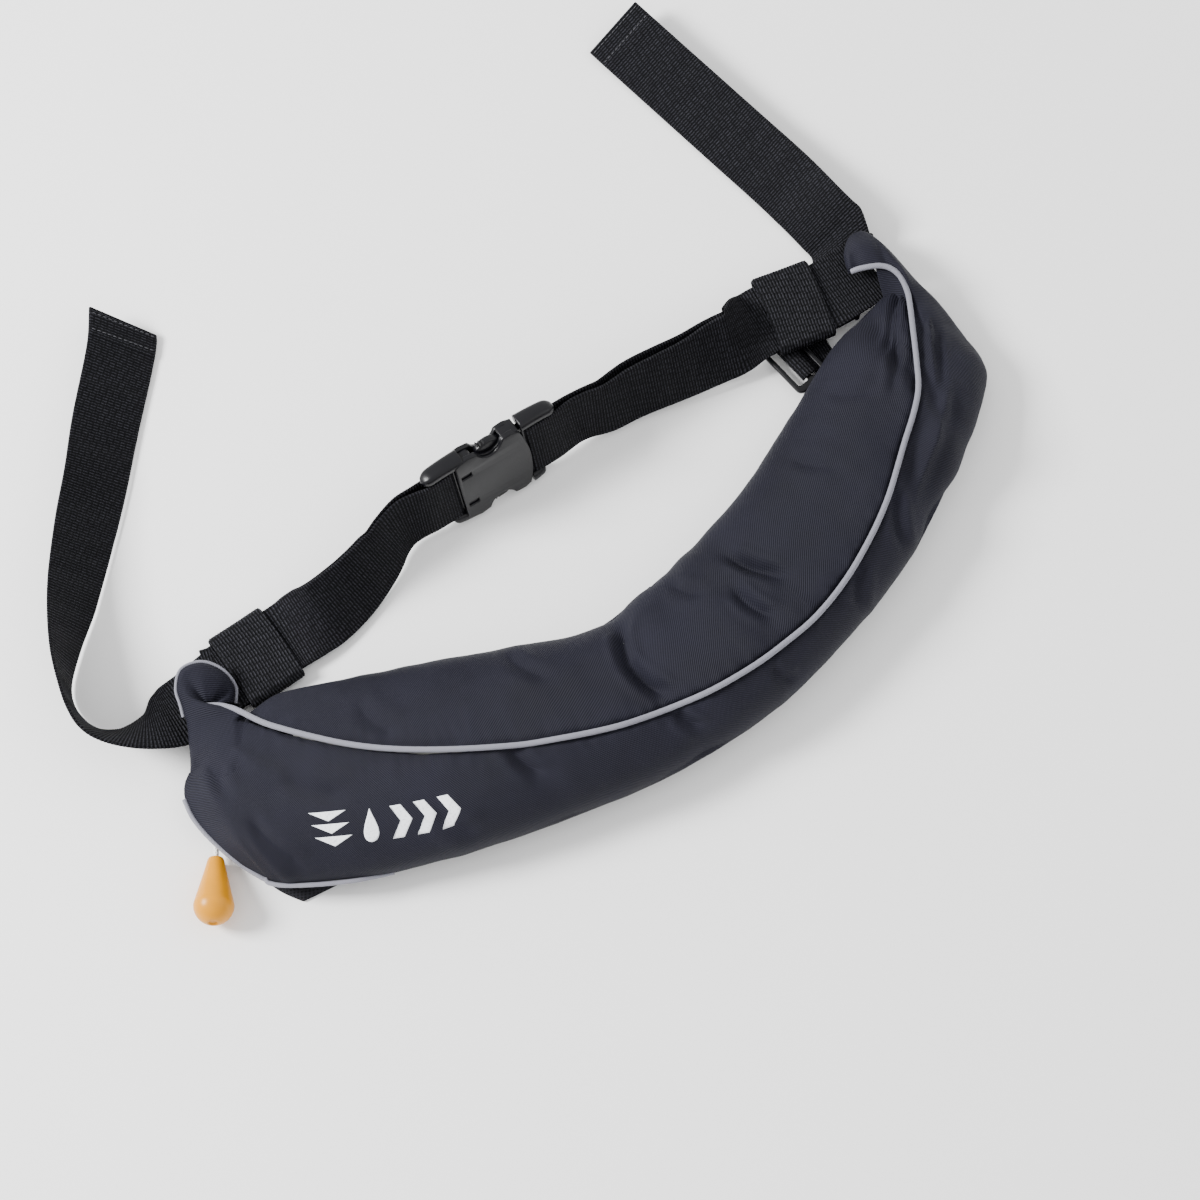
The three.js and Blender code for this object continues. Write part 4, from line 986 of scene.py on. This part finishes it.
rim_line = []
for point in left_rim[LEFT_RIM_PIPING_FROM * EAR_STEPS :]:
    out = point - ear_point(LEFT_EAR[9][3:])
    out.z = 0
    rim_line.append(point + out.normalized() * 0.9 + Vector((0, 0, -0.6)))
ear_piping = tube("left_ear_piping", evenly(rim_line, 160), RIM_PIPING_DIAMETER, PIPING, 12, 0.03)


def make_tuck():
    """The end of the upper panel, gathered under the curl of the piping."""
    centre = ear_point((0.962, -0.42, 0.42))
    rows, uvs = [], []
    for root in right_roots[3 * EAR_STEPS : 7 * EAR_STEPS + 4]:
        row = []
        for share in stations(0, 1, 10):
            row.append(centre.lerp(root, share) - UP * (1.5 + 3 * math.sin(math.pi * share)))
        rows.append(row)
        uvs.append([(p.x, p.y) for p in row])
    return thickened(upward(grid("right_end_tuck", rows, uvs, COVER)), TUCK_CLOTH)


right_flap = joined("right_ear_cloth", [right_flap, make_tuck()])


def smoothed(points, rounds):
    """A line with each point drawn to the mean of itself and its neighbours."""
    for _ in range(rounds):
        middle = [(a + b + c) / 3 for a, b, c in zip(points, points[1:], points[2:])]
        points = [points[0]] + middle + [points[-1]]
    return points


piping_line = []
for at in stations(-0.83, 0.91, 240):
    piping_line.append(raised(at, seam_angle(at), PIPING_LIFT, False))
near_end = [p + UP * 1.0 for p in left_roots[5 * EAR_STEPS : 7 * EAR_STEPS + 1 : 6]][::-1]
far_end = [p + UP * 1.0 for p in right_roots[4 * EAR_STEPS : 9 * EAR_STEPS + 7 : 6]]
whole = catmull(near_end + piping_line[::8] + far_end, 10)
whole = smoothed(evenly(whole, 620), 3)
front_piping = tube("front_cord_piping", whole, PIPING_DIAMETER, PIPING, 14, 0.03)


# ---------- webbing ----------


def near_point(turn, reach):
    """A place beside the pouch, as shares of its half sweep and of its inner radius."""
    return polar(turn, reach * INNER_RADIUS)


def strap_section(edge, span, normal, width=WEBBING_WIDTH, gap=0.0, turn=0.0, heading=None):
    return dict(edge=edge, span=span, normal=normal, width=width, gap=gap, turn=turn, heading=heading)


def route_sections(table, hand, places):
    """Sections along a route. hand is 1 where the far edge lies to the left of the heading."""
    line = Centripetal(places)
    rows = [(i / (len(table) - 1), row[0], *row[2:]) for i, row in enumerate(table)]
    total = line.length
    count = max(round(total / ROUTE_STEP), 2)
    sections = []
    for part in stations(0, 1, count):
        share = line.share_at(part)
        row = sample(rows, share)
        point, heading = line.point(share), line.tangent(share)
        flat = Vector((-heading.y, heading.x, 0)) * hand
        tilt = radians(row[2])
        span = flat * math.cos(tilt) + UP * math.sin(tilt)
        normal = flat * -math.sin(tilt) + UP * math.cos(tilt)
        low = row[3] * WEBBING_THICKNESS + max(-math.sin(tilt), 0) * WEBBING_WIDTH
        gap = FLAT_GAP + (row[4] if len(row) > 4 else 0) * WEBBING_THICKNESS
        edge = Vector((point.x, point.y, low))
        sections.append(strap_section(edge, span, normal, gap=gap, turn=row[1], heading=heading))
    return sections


class Centripetal:
    """A centripetal Catmull-Rom line through points, read by share or by length."""

    def __init__(self, points):
        self.points = points
        self.reads = [self.point(i / 200) for i in range(201)]
        self.runs = runs_of(self.reads)
        self.length = self.runs[-1]

    def point(self, share):
        p = self.points
        last = len(p) - 1
        place = last * share
        i = min(int(place), last - 1)
        t = place - i
        p1, p2 = p[i], p[i + 1]
        p0 = p[i - 1] if i > 0 else p1 * 2 - p2
        p3 = p[i + 2] if i + 2 <= last else p2 * 2 - p1
        d0 = max((p1 - p0).length ** 0.5, 1e-4)
        d1 = max((p2 - p1).length ** 0.5, 1e-4)
        d2 = max((p3 - p2).length ** 0.5, 1e-4)
        m1 = ((p1 - p0) / d0 - (p2 - p0) / (d0 + d1) + (p2 - p1) / d1) * d1
        m2 = ((p2 - p1) / d1 - (p3 - p1) / (d1 + d2) + (p3 - p2) / d2) * d1
        return hermite(p1, m1, p2, m2, t)

    def tangent(self, share):
        a, b = max(share - 1e-4, 0), min(share + 1e-4, 1)
        return (self.point(b) - self.point(a)).normalized()

    def share_at(self, part):
        want = part * self.length
        i = next((k for k, run in enumerate(self.runs) if run >= want), len(self.runs) - 1)
        if i == 0:
            return 0.0
        low, high = self.runs[i - 1], self.runs[i]
        return (i - 1 + (want - low) / max(high - low, 1e-9)) / 200


tilted = Matrix.Rotation(radians(BUCKLE_TILT), 4, "X")
buckle_centre = near_point(*BUCKLE_AT)
buckle_centre.z = (
    BUCKLE_WIDTH * math.sin(radians(BUCKLE_TILT)) + BUCKLE_THICKNESS * math.cos(radians(BUCKLE_TILT))
) / 2
BUCKLE = Matrix.Translation(buckle_centre) @ tilted


def bar_row(x):
    """The row and place of a route where it runs over the buckle at x."""
    gap = BUCKLE_BAR + WEBBING_THICKNESS + 2 * FIT
    point = BUCKLE @ Vector((x, -WEBBING_WIDTH / 2 - 0.8, gap / 2))
    turn = math.degrees(math.atan2(point.x, -point.y)) / HALF_SWEEP
    row = (turn, 0, BUCKLE_TILT, point.z / WEBBING_THICKNESS, (gap - FLAT_GAP) / WEBBING_THICKNESS)
    return row, Vector((point.x, point.y, 0))


def front_sections(table, bars, hand):
    rows = [bar_row(x) for x in bars]
    places = [near_point(row[0], row[1]) for row in table] + [place for _, place in rows]
    return route_sections(table + [row for row, _ in rows], hand, places)


left_front = front_sections(LEFT_FRONT, (LEFT_BAR - BAR_RUN, LEFT_BAR), 1)
right_front = front_sections(RIGHT_FRONT, (RIGHT_BAR + BAR_RUN, RIGHT_BAR), -1)


def tail_sections(table, slant=0.0):
    """A free end: its last stretch is doubled over and sewn, and may be cut slantwise."""
    sections = route_sections(table, -1, [near_point(row[0], row[1]) for row in table])
    runs = runs_of([section["edge"] for section in sections])
    for section, at in zip(sections, runs):
        left = runs[-1] - at
        section["hem"] = left < HEM_LENGTH
        back = slant * max(1 - left / (3 * HEM_LENGTH), 0)
        line = section["span"] * WEBBING_WIDTH - section["heading"] * back
        section["span"], section["width"] = line.normalized(), line.length
    return sections


def bar_turn(last):
    """The half turn of a belt round the buckle's bar."""
    heading = last["normal"].cross(last["span"]).normalized()
    if heading.dot(last["heading"]) < 0:
        heading = -heading
    centre = last["edge"] - last["normal"] * (last["gap"] / 2)
    out = []
    for a in stations(0, math.pi, 10)[1:-1]:
        away = last["normal"] * math.cos(a) + heading * math.sin(a)
        out.append(strap_section(centre + away * (last["gap"] / 2), last["span"], away))
    return out


def back_layer(front, end):
    """The layer behind a front layer, led back towards the pouch as far as a turn."""
    out = []
    for section in front:
        if abs(section["turn"]) < end:
            edge = section["edge"] - section["normal"] * section["gap"]
            out.append({**section, "edge": edge, "normal": -section["normal"]})
    return out[::-1]


def diagonal_fold(last, outgoing):
    """The slant fold that sends the right belt from its back layer into its tail."""
    side = last["span"].copy()
    side.z = 0
    side.normalize()
    heading = -last["heading"]
    radius = FLAT_GAP / 2
    row = sample(RIGHT_FRONT, FOLD_AT)
    near = near_point(row[0], row[1])
    near.z = last["edge"].z
    line = (heading + outgoing).normalized()
    slant = line * (WEBBING_WIDTH / line.dot(side))
    slant.z = WEBBING_WIDTH * last["span"].z
    out = (heading - outgoing).normalized()
    sections = []
    for a in stations(0, math.pi, 6):
        away = UP * math.cos(a) + out * math.sin(a)
        edge = near - UP * radius + away * radius
        sections.append(strap_section(edge, slant.normalized(), -away, slant.length))
    run = outgoing * slant.dot(outgoing)
    after = near - UP * (2 * radius) + run
    rest = slant - run
    sections.append(strap_section(after, rest.normalized(), UP.copy(), rest.length))
    return sections


def turned(sections):
    """The same sections with their other face up."""
    return [{**section, "normal": -section["normal"]} for section in sections]


def ribbon(name, sections, material, step=0.8, wave=0.0, rib=FINE_RIB):
    """Webbing along sections: a woven band with ribs across it and thicker edges."""
    edges = [s["edge"] for s in sections]
    fars = [s["edge"] + s["span"] * s["width"] for s in sections]
    normals = [s["normal"] for s in sections]
    middles = [(a + b) / 2 for a, b in zip(edges, fars)]
    gaps = gaps_of(middles)
    columns = [0, 0.012, 0.03, 0.075, 0.09] + stations(0.15, 0.85, 5) + [0.91, 0.925, 0.97, 0.988, 1]
    rows, uvs, run = [], [], 0.0
    previous = None
    for i, gap in enumerate(gaps):
        steps = max(round(gap / step), 1)
        last = i == len(gaps) - 1
        for k in range(steps + (1 if last else 0)):
            t = k / steps
            edge, far, normal = (spline_at(values, gaps, i, t) for values in (edges, fars, normals))
            normal.normalize()
            middle = (edge + far) / 2
            if previous is not None:
                run += (middle - previous).length
            previous = middle
            a, b = sections[i], sections[min(i + 1, len(sections) - 1)]
            hem = a.get("hem") or (b.get("hem") and t > 0.6)
            thickness = HEM_THICKNESS - 0.3 if hem else WEBBING_THICKNESS
            free = 1.0 if a.get("free") else 0.0
            ridge = 0.16 * math.sin(run * 2 * math.pi / rib)
            ripple = wave * free * noise.noise(Vector((run / 34, 3.3, 0)))
            ring, uv = [], []
            for side in (1, -1):
                for share in columns if side > 0 else columns[::-1]:
                    rim = min(share, 1 - share)
                    fat = 0.42 if rim < 0.005 else 0.86 if rim < 0.02 else 1.04 if rim < 0.08 else 1.0
                    groove = -0.1 if 0.072 < rim < 0.093 else 0.0
                    lift = side * (thickness / 2 * fat + groove + ridge * (0.5 if rim < 0.02 else 1.0))
                    cup = ripple * (1 - 0.6 * share)
                    ring.append(edge.lerp(far, share) + normal * (lift + cup))
                    uv.append((run, share * WEBBING_WIDTH + (50 if side < 0 else 0)))
            rows.append(ring)
            uvs.append(uv)
    return outward(grid(name, rows, uvs, material, ring=True, caps=2)), rows


def freed(sections):
    """Marks where a tail lies free, so that it may ripple."""
    for section in sections[4:]:
        section["free"] = True
    return sections


left_tail = freed(turned(tail_sections(LEFT_TAIL, HEM_SLANT)))
left_sections = left_front + bar_turn(left_front[-1]) + back_layer(left_front, LEFT_BACK_END) + left_tail
left_belt, left_rows = ribbon("left_belt_webbing", left_sections, WEBBING, wave=0.7)

right_tail = freed(tail_sections(RIGHT_TAIL))
right_back = back_layer(right_front, RIGHT_BACK_END)
fold = diagonal_fold(right_back[-1], right_tail[0]["heading"])
right_sections = right_front + bar_turn(right_front[-1]) + right_back + fold + right_tail
right_belt, right_rows = ribbon("right_belt_webbing", right_sections, WEBBING, wave=0.7)


def hem_stitches(name, rows, back_from_end, side):
    """A row of thread across the webbing, near its sewn end."""
    ring = rows[-1 - back_from_end]
    half = len(ring) // 2
    line = ring[:half] if side > 0 else ring[half:]
    other = ring[half:][::-1] if side > 0 else ring[:half][::-1]
    normals = [(a - b).normalized() for a, b in zip(line, other)]
    lifted = [p + n * 0.1 for p, n in zip(line, normals)][2:-2]
    return stitches(name, lifted, normals[2:-2], STITCH_PITCH, STITCH_LENGTH, THREAD, THREAD_THICKNESS)


hems = []
for key, rows in (("left", left_rows), ("right", right_rows)):
    for place in HEM_SEAMS:
        hems.append(hem_stitches(f"{key}_hem_{place}_front", rows, place, 1))
        hems.append(hem_stitches(f"{key}_hem_{place}_back", rows, place, -1))


# ---------- keepers ----------


def section_near(sections, turn):
    return min(sections, key=lambda s: abs(s["turn"] - turn))


def frame_of(section):
    """A frame at the middle of a section, with x along the belt."""
    x = section["span"].cross(section["normal"]).normalized()
    if x.x < 0:
        x = -x
    z = section["normal"]
    y = z.cross(x)
    middle = section["edge"] + section["span"] * (WEBBING_WIDTH / 2)
    return Matrix.Translation(middle) @ Matrix((x, y, z)).transposed().to_4x4()


def make_keeper(name, section):
    """A loop of coarse webbing round both layers, pulled soft at its corners."""
    matrix = frame_of(section)
    half, radius = (WEBBING_WIDTH - KEEPER_TUCK) / 2, KEEPER_STACK / 2
    outline = []
    for side in (1, -1):
        outline += [Vector((0, side * half * t, -side * radius)) for t in stations(-1, 1, 20)]
        for a in stations(-math.pi / 2, math.pi / 2, 8)[1:-1]:
            outline.append(Vector((0, side * (half + radius * math.cos(a)), side * radius * math.sin(a))))
    profile = [(along, True) for along in stations(-0.5, 0.5, 44)]
    profile += [(along, False) for along in stations(0.5, -0.5, 44)]
    shift = Vector((0, 0, -section["gap"] / 2))
    rows, uvs, run = [], [], 0.0
    for i, point in enumerate(outline):
        heading = (outline[(i + 1) % len(outline)] - outline[i - 1]).normalized()
        normal = Vector((0, heading.z, -heading.y))
        if i:
            run += (point - outline[i - 1]).length
        ring, uv = [], []
        for along, outside in profile:
            rim = 0.5 - abs(along)
            if outside:
                soft = 0.35 if rim < 0.004 else 0.85 if rim < 0.03 else 1.0
                sag = 0.175 * noise.noise(Vector((along * 3, point.y / 14, point.z)))
                weave = 0.18 * math.sin(along * KEEPER_LENGTH * 2 * math.pi / COARSE_RIB)
                level = 0.12 + (KEEPER_THICKNESS - 0.12) * soft + sag + weave
            else:
                level = 0.0 if rim > 0.004 else 0.5
            bowed = along * KEEPER_LENGTH + 0.5 * math.sin(point.y / 9 + 1)
            ring.append(matrix @ (Vector((bowed, point.y, point.z)) + normal * level + shift))
            uv.append((along * KEEPER_LENGTH, run))
        rows.append(ring)
        uvs.append(uv)
    rows.append(rows[0])
    uvs.append([(u, run + 2) for u, _ in uvs[0]])
    return outward(grid(name, rows, uvs, COARSE, ring=True), weld=True)


left_loop = make_keeper("left_keeper_loop", section_near(left_front, LEFT_KEEPER_AT))
right_loop = make_keeper("right_keeper_loop", section_near(right_front, RIGHT_KEEPER_AT))


# ---------- buckle ----------


def plate(name, outlines, low, high, bevel, matrix=BUCKLE):
    """A plate with rounded edges from closed outlines; the ones after the first are holes."""
    curve = bpy.data.curves.new(name, "CURVE")
    curve.dimensions = "2D"
    curve.fill_mode = "BOTH"
    for outline in outlines:
        spline = curve.splines.new("POLY")
        spline.points.add(len(outline) - 1)
        for point, (x, y) in zip(spline.points, outline):
            point.co = (x * MM, y * MM, 0, 1)
        spline.use_cyclic_u = True
    curve.extrude = max((high - low) / 2 - bevel, 0) * MM
    curve.bevel_depth = bevel * MM
    curve.bevel_resolution = 3
    curve.offset = -bevel * MM
    source = placed(name, curve)
    graph = bpy.context.evaluated_depsgraph_get()
    mesh = bpy.data.meshes.new_from_object(source.evaluated_get(graph))
    bpy.data.objects.remove(source)
    bpy.data.curves.remove(curve)
    mesh.transform(Matrix.Translation((0, 0, (low + high) / 2 * MM)))
    whole = Matrix.Translation(OFFSET * MM) @ Matrix.Scale(MM, 4) @ matrix @ Matrix.Scale(1 / MM, 4)
    mesh.transform(whole)
    mesh.materials.clear()
    mesh.materials.append(PLASTIC)
    mesh.polygons.foreach_set("use_smooth", [True] * len(mesh.polygons))
    return outward(placed(name, mesh), weld=True)


def rounded(x0, x1, y0, y1, radius, steps=6):
    """The outline of a rectangle with round corners."""
    out = []
    for cx, cy, start in (
        (x1 - radius, y0 + radius, -90),
        (x1 - radius, y1 - radius, 0),
        (x0 + radius, y1 - radius, 90),
        (x0 + radius, y0 + radius, 180),
    ):
        for a in stations(start, start + 90, steps):
            out.append((cx + radius * math.cos(radians(a)), cy + radius * math.sin(radians(a))))
    return out


WINDOW_FROM, WINDOW_TO = PLATE_FROM + 14, PLATE_FROM + 30
HALF_BUCKLE = BUCKLE_WIDTH / 2
PRONG_LINE = HALF_BUCKLE - 6.5


def rail(name, x0, x1, side):
    """A side rail of the buckle: a rounded bar that thins towards its free end."""
    rows = []
    outer, inner = HALF_BUCKLE, HALF_BUCKLE - BUCKLE_RAIL
    for share in stations(0, 1, 26):
        x = x0 + (x1 - x0) * share
        tip = min(1, (1 - share) / 0.24 + 1e-4)
        shrink = math.sqrt(max(1 - (1 - tip) ** 2, 0.0004))
        thick = BUCKLE_THICKNESS / 2 * (0.96 - 0.14 * share) * shrink
        wide = (outer - inner) / 2 * 1.16 * shrink
        middle = (outer + inner) / 2 - 2.4 * share * share * share
        ring = []
        for a in circle(20):
            c, s = math.cos(a), math.sin(a)
            y = middle + wide * math.copysign(abs(c) ** 0.6, c)
            z = thick * math.copysign(abs(s) ** 0.6, s)
            ring.append(BUCKLE @ Vector((x, side * y, z)))
        rows.append(ring)
    return outward(grid(name, rows, None, PLASTIC, ring=True, caps=2))


def rod(name, start, end, diameter):
    line = [BUCKLE @ start.lerp(end, t) for t in stations(0, 1, 12)]
    return tube(name, line, diameter, PLASTIC, 18)


def cross_bar(name, x):
    """The bar that a strap turns round."""
    reach = HALF_BUCKLE - 4
    return rod(name, Vector((x, -reach, 0)), Vector((x, reach, 0)), BUCKLE_BAR)


def side_profile(depth):
    """The outline of the socket's faces, with its two finger windows."""
    h = HALF_BUCKLE
    upper = [(PLATE_FROM, h - 3.2), (PLATE_FROM + 3, h - 1.4), (PLATE_FROM + 8, h - 0.3)]
    upper.append((WINDOW_FROM - 1.5, h - 1.0))
    for t in stations(0, 1, 12):
        x = WINDOW_FROM + (WINDOW_TO - WINDOW_FROM) * t
        upper.append((x, h - 1.4 - depth * math.sin(math.pi * t) ** 0.7))
    upper += [(WINDOW_TO + 1.5, h - 1.0), (PLATE_TO - 8, h - 0.6), (PLATE_TO - 4, h - 2.2)]
    for t in stations(0, 1, 5):
        upper.append((PLATE_TO - 3 + 3.2 * math.sin(t * math.pi / 2), h - 4.5 - (h - 4.5) * t))
    return upper + mirrored(upper)[1:]


def make_socket():
    half = BUCKLE_THICKNESS / 2
    recess = rounded(PLATE_FROM + 2.4, PLATE_FROM + 8.5, 10.6, 13.6, 0.5, 3)
    face = [side_profile(6.6), recess, mirrored(recess)]
    head = rounded(PLATE_FROM + 0.4, WINDOW_FROM - 1.5, -HALF_BUCKLE + 1.6, HALF_BUCKLE - 1.6, 2.4)
    pieces = [
        plate("socket_face", face, half - 2.4, half, 0.8),
        plate("socket_under", [side_profile(5.2)], half - 3.2, half - 1.4, 0.3),
        plate("socket_rear", [side_profile(6.0)], -half, -half + 3.0, 0.8),
        plate("socket_head", [head], -half + 1.0, half - 1.2, 1.0),
    ]
    for side in (-1, 1):
        cheek = rounded(WINDOW_TO + 0.4, PLATE_TO - 3.2, HALF_BUCKLE - 3.6, HALF_BUCKLE - 1.2, 0.9, 3)
        if side < 0:
            cheek = mirrored(cheek)
        pieces.append(plate(f"socket_cheek_{side}", [cheek], -half + 0.8, half - 0.8, 0.7))
        reach = -BUCKLE_LENGTH / 2 if side > 0 else LEFT_BAR - 4
        pieces.append(rail(f"socket_rail_{side}", PLATE_FROM + 6, reach, side))
    pieces.append(cross_bar("socket_bar", LEFT_BAR))
    reach = HALF_BUCKLE - 5
    rim = [BUCKLE @ Vector((PLATE_FROM + 0.2, y, 0.6)) for y in stations(-reach, reach, 10)]
    pieces.append(tube("socket_rim", rim, 3.0, PLASTIC, 14))
    return joined("buckle_socket_body", pieces)


def make_plug():
    start = PLATE_TO - 1.6
    base = rounded(start, start + 2.2, -HALF_BUCKLE + 3.4, HALF_BUCKLE - 3.4, 1.0, 3)
    pieces = [plate("plug_base", [base], -3.4, 2.4, 0.8)]
    for side in (-1, 1):
        inner, outer = PRONG_LINE - 2.4, PRONG_LINE + 2.4
        prong = [(start + 1, inner), (start + 1, outer - 0.6), (WINDOW_TO + 2, outer - 0.4)]
        for t in stations(0, 1, 10):
            x = WINDOW_TO + 1 + (WINDOW_FROM + 1.4 - WINDOW_TO - 1) * t
            prong.append((x, outer - 0.4 + 4.6 * math.sin(math.pi * min(t * 0.9, 1)) ** 0.8 * (1 - 0.25 * t)))
        prong += [(WINDOW_FROM + 0.8, inner + 1.4), (WINDOW_FROM + 3, inner), (WINDOW_TO, inner + 0.6)]
        if side < 0:
            prong = mirrored(prong)
        pieces.append(plate(f"plug_prong_{side}", [prong], -2.5, 2.2, 1.1))
        for k in range(3):
            x, y = WINDOW_FROM + 3.2 + 2.0 * k, side * (PRONG_LINE + 6.1 - 0.15 * k)
            pieces.append(rod(f"plug_grip_{side}_{k}", Vector((x, y, -1.6)), Vector((x, y, 1.6)), 0.9))
        reach = BUCKLE_LENGTH / 2 if side > 0 else RIGHT_BAR + 4
        pieces.append(rail(f"plug_rail_{side}", start, reach, side))
    guide = rounded(PLATE_TO - 26, start + 1, -3, 3, 1.0, 3)
    pieces.append(plate("plug_guide", [guide], -2.3, 2.3, 0.6))
    pieces.append(cross_bar("plug_bar", RIGHT_BAR))
    return joined("buckle_plug_body", pieces)


socket_body = make_socket()
plug_body = make_plug()


# ---------- slider and its strap ----------

SLIDER_LENGTH, SLIDER_WIDTH, SLIDER_THICKNESS, SLIDER_BAR, SLIDER_RAIL = 50, 22, 2.8, 2.8, 4.5
SLIDER_SLOT = (SLIDER_WIDTH - 3 * SLIDER_BAR) / 2
STRAP_REACH = 9
SLIDER_LIFT = WEBBING_THICKNESS + 2.5 * FIT + SLIDER_THICKNESS / 2
slider_centre = near_point(0.82, 0.935)
slider_centre.z = SLIDER_LIFT
SLIDER = Matrix.Translation(slider_centre) @ Matrix.Rotation(radians(8), 4, "Z")


def make_slider():
    l, w = SLIDER_LENGTH / 2, SLIDER_WIDTH / 2
    slot = SLIDER_SLOT
    outlines = [rounded(-w, w, -l, l, 4)]
    for side in (-1, 1):
        middle = side * (SLIDER_BAR + slot) / 2
        hole = rounded(middle - slot / 2, middle + slot / 2, -l + SLIDER_RAIL, l - SLIDER_RAIL, 1.2)
        outlines.append(hole)
    return plate("slider_frame", outlines, -SLIDER_THICKNESS / 2, SLIDER_THICKNESS / 2, 0.9, SLIDER)


def make_slider_strap():
    under = -SLIDER_LIFT + WEBBING_THICKNESS / 2 + 1.5 * FIT
    over = (SLIDER_THICKNESS + WEBBING_THICKNESS) / 2 + FIT
    slot = SLIDER_SLOT
    middle = (SLIDER_BAR + slot) / 2
    route = [
        (middle + slot + STRAP_REACH, under),
        (middle + slot / 2, under),
        (middle + slot * 0.15, under * 0.5),
        (middle - slot * 0.12, over * 0.6),
        (SLIDER_BAR * 0.6, over),
        (-SLIDER_BAR * 0.5, over),
        (-middle + slot * 0.1, over * 0.35),
    ]
    line = Centripetal([Vector((x, 0, z)) for x, z in route])
    turn = SLIDER.to_3x3()
    sections = []
    for share in stations(0, 1, 18):
        heading, point = line.tangent(share), line.point(share)
        slant = max(1 - share * 4, 0) * STRAP_REACH * 0.9
        span = Vector((slant, WEBBING_WIDTH, 0))
        edge = Vector((point.x, -WEBBING_WIDTH / 2, point.z))
        normal = Vector((-heading.z, 0, heading.x))
        sections.append(strap_section(SLIDER @ edge, (turn @ span).normalized(), turn @ normal, span.length))
    return ribbon("slider_strap_webbing", sections, COARSE, rib=COARSE_RIB)[0]


slider_frame = make_slider()
slider_webbing = make_slider_strap()


# ---------- print: plain marks, with no lettering ----------


def print_point(s, t, lift=0.16):
    """A place of the lower panel, in mm along and across from the middle of the marks."""
    at = -0.6 + s / ALONG
    row = sample(SECTIONS, at)
    across = (0.655 * HALF_BAND + t) / (row[2] * HALF_BAND)
    return raised(at, angle_of(min(across, 0.99)), lift)


def mark(name, outline, rings=7):
    """A printed patch: its outline filled towards its middle, so that it follows the cloth."""
    dense = []
    for (x0, y0), (x1, y1) in zip(outline, outline[1:] + outline[:1]):
        steps = max(int(math.hypot(x1 - x0, y1 - y0) / 0.8), 1)
        dense += [(x0 + (x1 - x0) * k / steps, y0 + (y1 - y0) * k / steps) for k in range(steps)]
    cx = sum(x for x, _ in dense) / len(dense)
    cy = sum(y for _, y in dense) / len(dense)
    rows = []
    for share in stations(1, 0.02, rings):
        rows.append([print_point(cx + (x - cx) * share, cy + (y - cy) * share) for x, y in dense])
    obj = upward(grid(name, rows, None, PRINT, ring=True, caps=1))
    obj.data.polygons[-1].use_smooth = False
    return thickened(obj, PRINT_THICKNESS)


marks = []
for k in range(3):
    x, y = -35.8 + 1.1 * k, -9.4 + 6.4 * k
    marks.append(mark(f"print_arrow_{k}", [(x, y), (x + 19.6, y), (x + 10.2, y + 5.0)]))
drop = []
for a in circle(40):
    drop.append((-4.5 + 5.6 * math.sin(a) * (0.55 - 0.45 * math.cos(a)), -0.2 - 8.4 * math.cos(a)))
marks.append(mark("print_drop", drop))
for k in range(3):
    x = 5.5 + 11.5 * k
    chevron = [(x, -8.2), (x + 5.4, -8.2), (x + 10.2, 0), (x + 5.4, 8.2), (x, 8.2), (x + 4.8, 0)]
    marks.append(mark(f"print_chevron_{k}", chevron))


# ---------- what rides and what stands for what ----------

table = [
    (upper_cover, "cover_upper_panel", "cover"),
    (lower_cover, "cover_lower_panel", "cover"),
    (mesh_back, "back_panel", "mesh"),
    (left_flap, "left_ear", "cover"),
    (right_flap, "right_ear", "cover"),
    (front_piping, "front_piping", "piping"),
    (edge_piping, "edge_piping", "piping"),
    (ear_piping, "ear_piping", "piping"),
    (cord, "pull_cord", "cord"),
    (toggle, "pull_toggle", "toggle"),
    (left_belt, "left_webbing", "webbing"),
    (right_belt, "right_webbing", "webbing"),
    (left_loop, "left_keeper", "webbing"),
    (right_loop, "right_keeper", "webbing"),
    (slider_frame, "belt_slider", "plastic"),
    (slider_webbing, "slider_strap", "webbing"),
    (socket_body, "buckle_socket", "plastic"),
    (plug_body, "buckle_plug", "plastic"),
]
for piece, node, slot in table:
    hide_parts(node)
    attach(piece, "root")
for piece, slot in [(back_binding, "mesh")] + [(m, "cover") for m in marks] + [(h, "webbing") for h in hems]:
    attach(piece, "root")

for node, material in (("folded_bladder", FILLING), ("inflator", PLASTIC)):
    for obj in bpy.data.objects:
        if obj.name == node or obj.name.startswith(node + "."):
            for slot in obj.material_slots:
                slot.material = material


# ---------- floor, light and world ----------


FLOOR_REACH, FLOOR_HEIGHT = 4, -0.0006  # metres


def make_floor():
    mesh = bpy.data.meshes.new("floor")
    corners = [(-1, -1), (1, -1), (1, 1), (-1, 1)]
    mesh.from_pydata([(x * FLOOR_REACH, y * FLOOR_REACH, FLOOR_HEIGHT) for x, y in corners], [], [(0, 1, 2, 3)])
    mesh.materials.append(Nodes("floor_paper", (0.93, 0.93, 0.93), 0.9).material)
    floor = placed("floor", mesh)


def area_light(name, place, size, power):
    """A lamp that looks at the row's origin."""
    data = bpy.data.lights.new(name, "AREA")
    data.size = size
    data.energy = power
    light = placed(name, data)
    light.location = place
    light.rotation_euler = Vector(place).to_track_quat("Z", "Y").to_euler()


make_floor()
area_light("key", (-1.5, 1.0, 1.35), 0.7, 120)
area_light("fill", (1.4, -0.9, 1.6), 1.8, 10)
world = bpy.data.worlds.new("studio")
bpy.context.scene.world = world
world.use_nodes = True
sky = world.node_tree.nodes["Background"]
sky.inputs["Color"].default_value = (1, 1, 1, 1)
sky.inputs["Strength"].default_value = 1.3
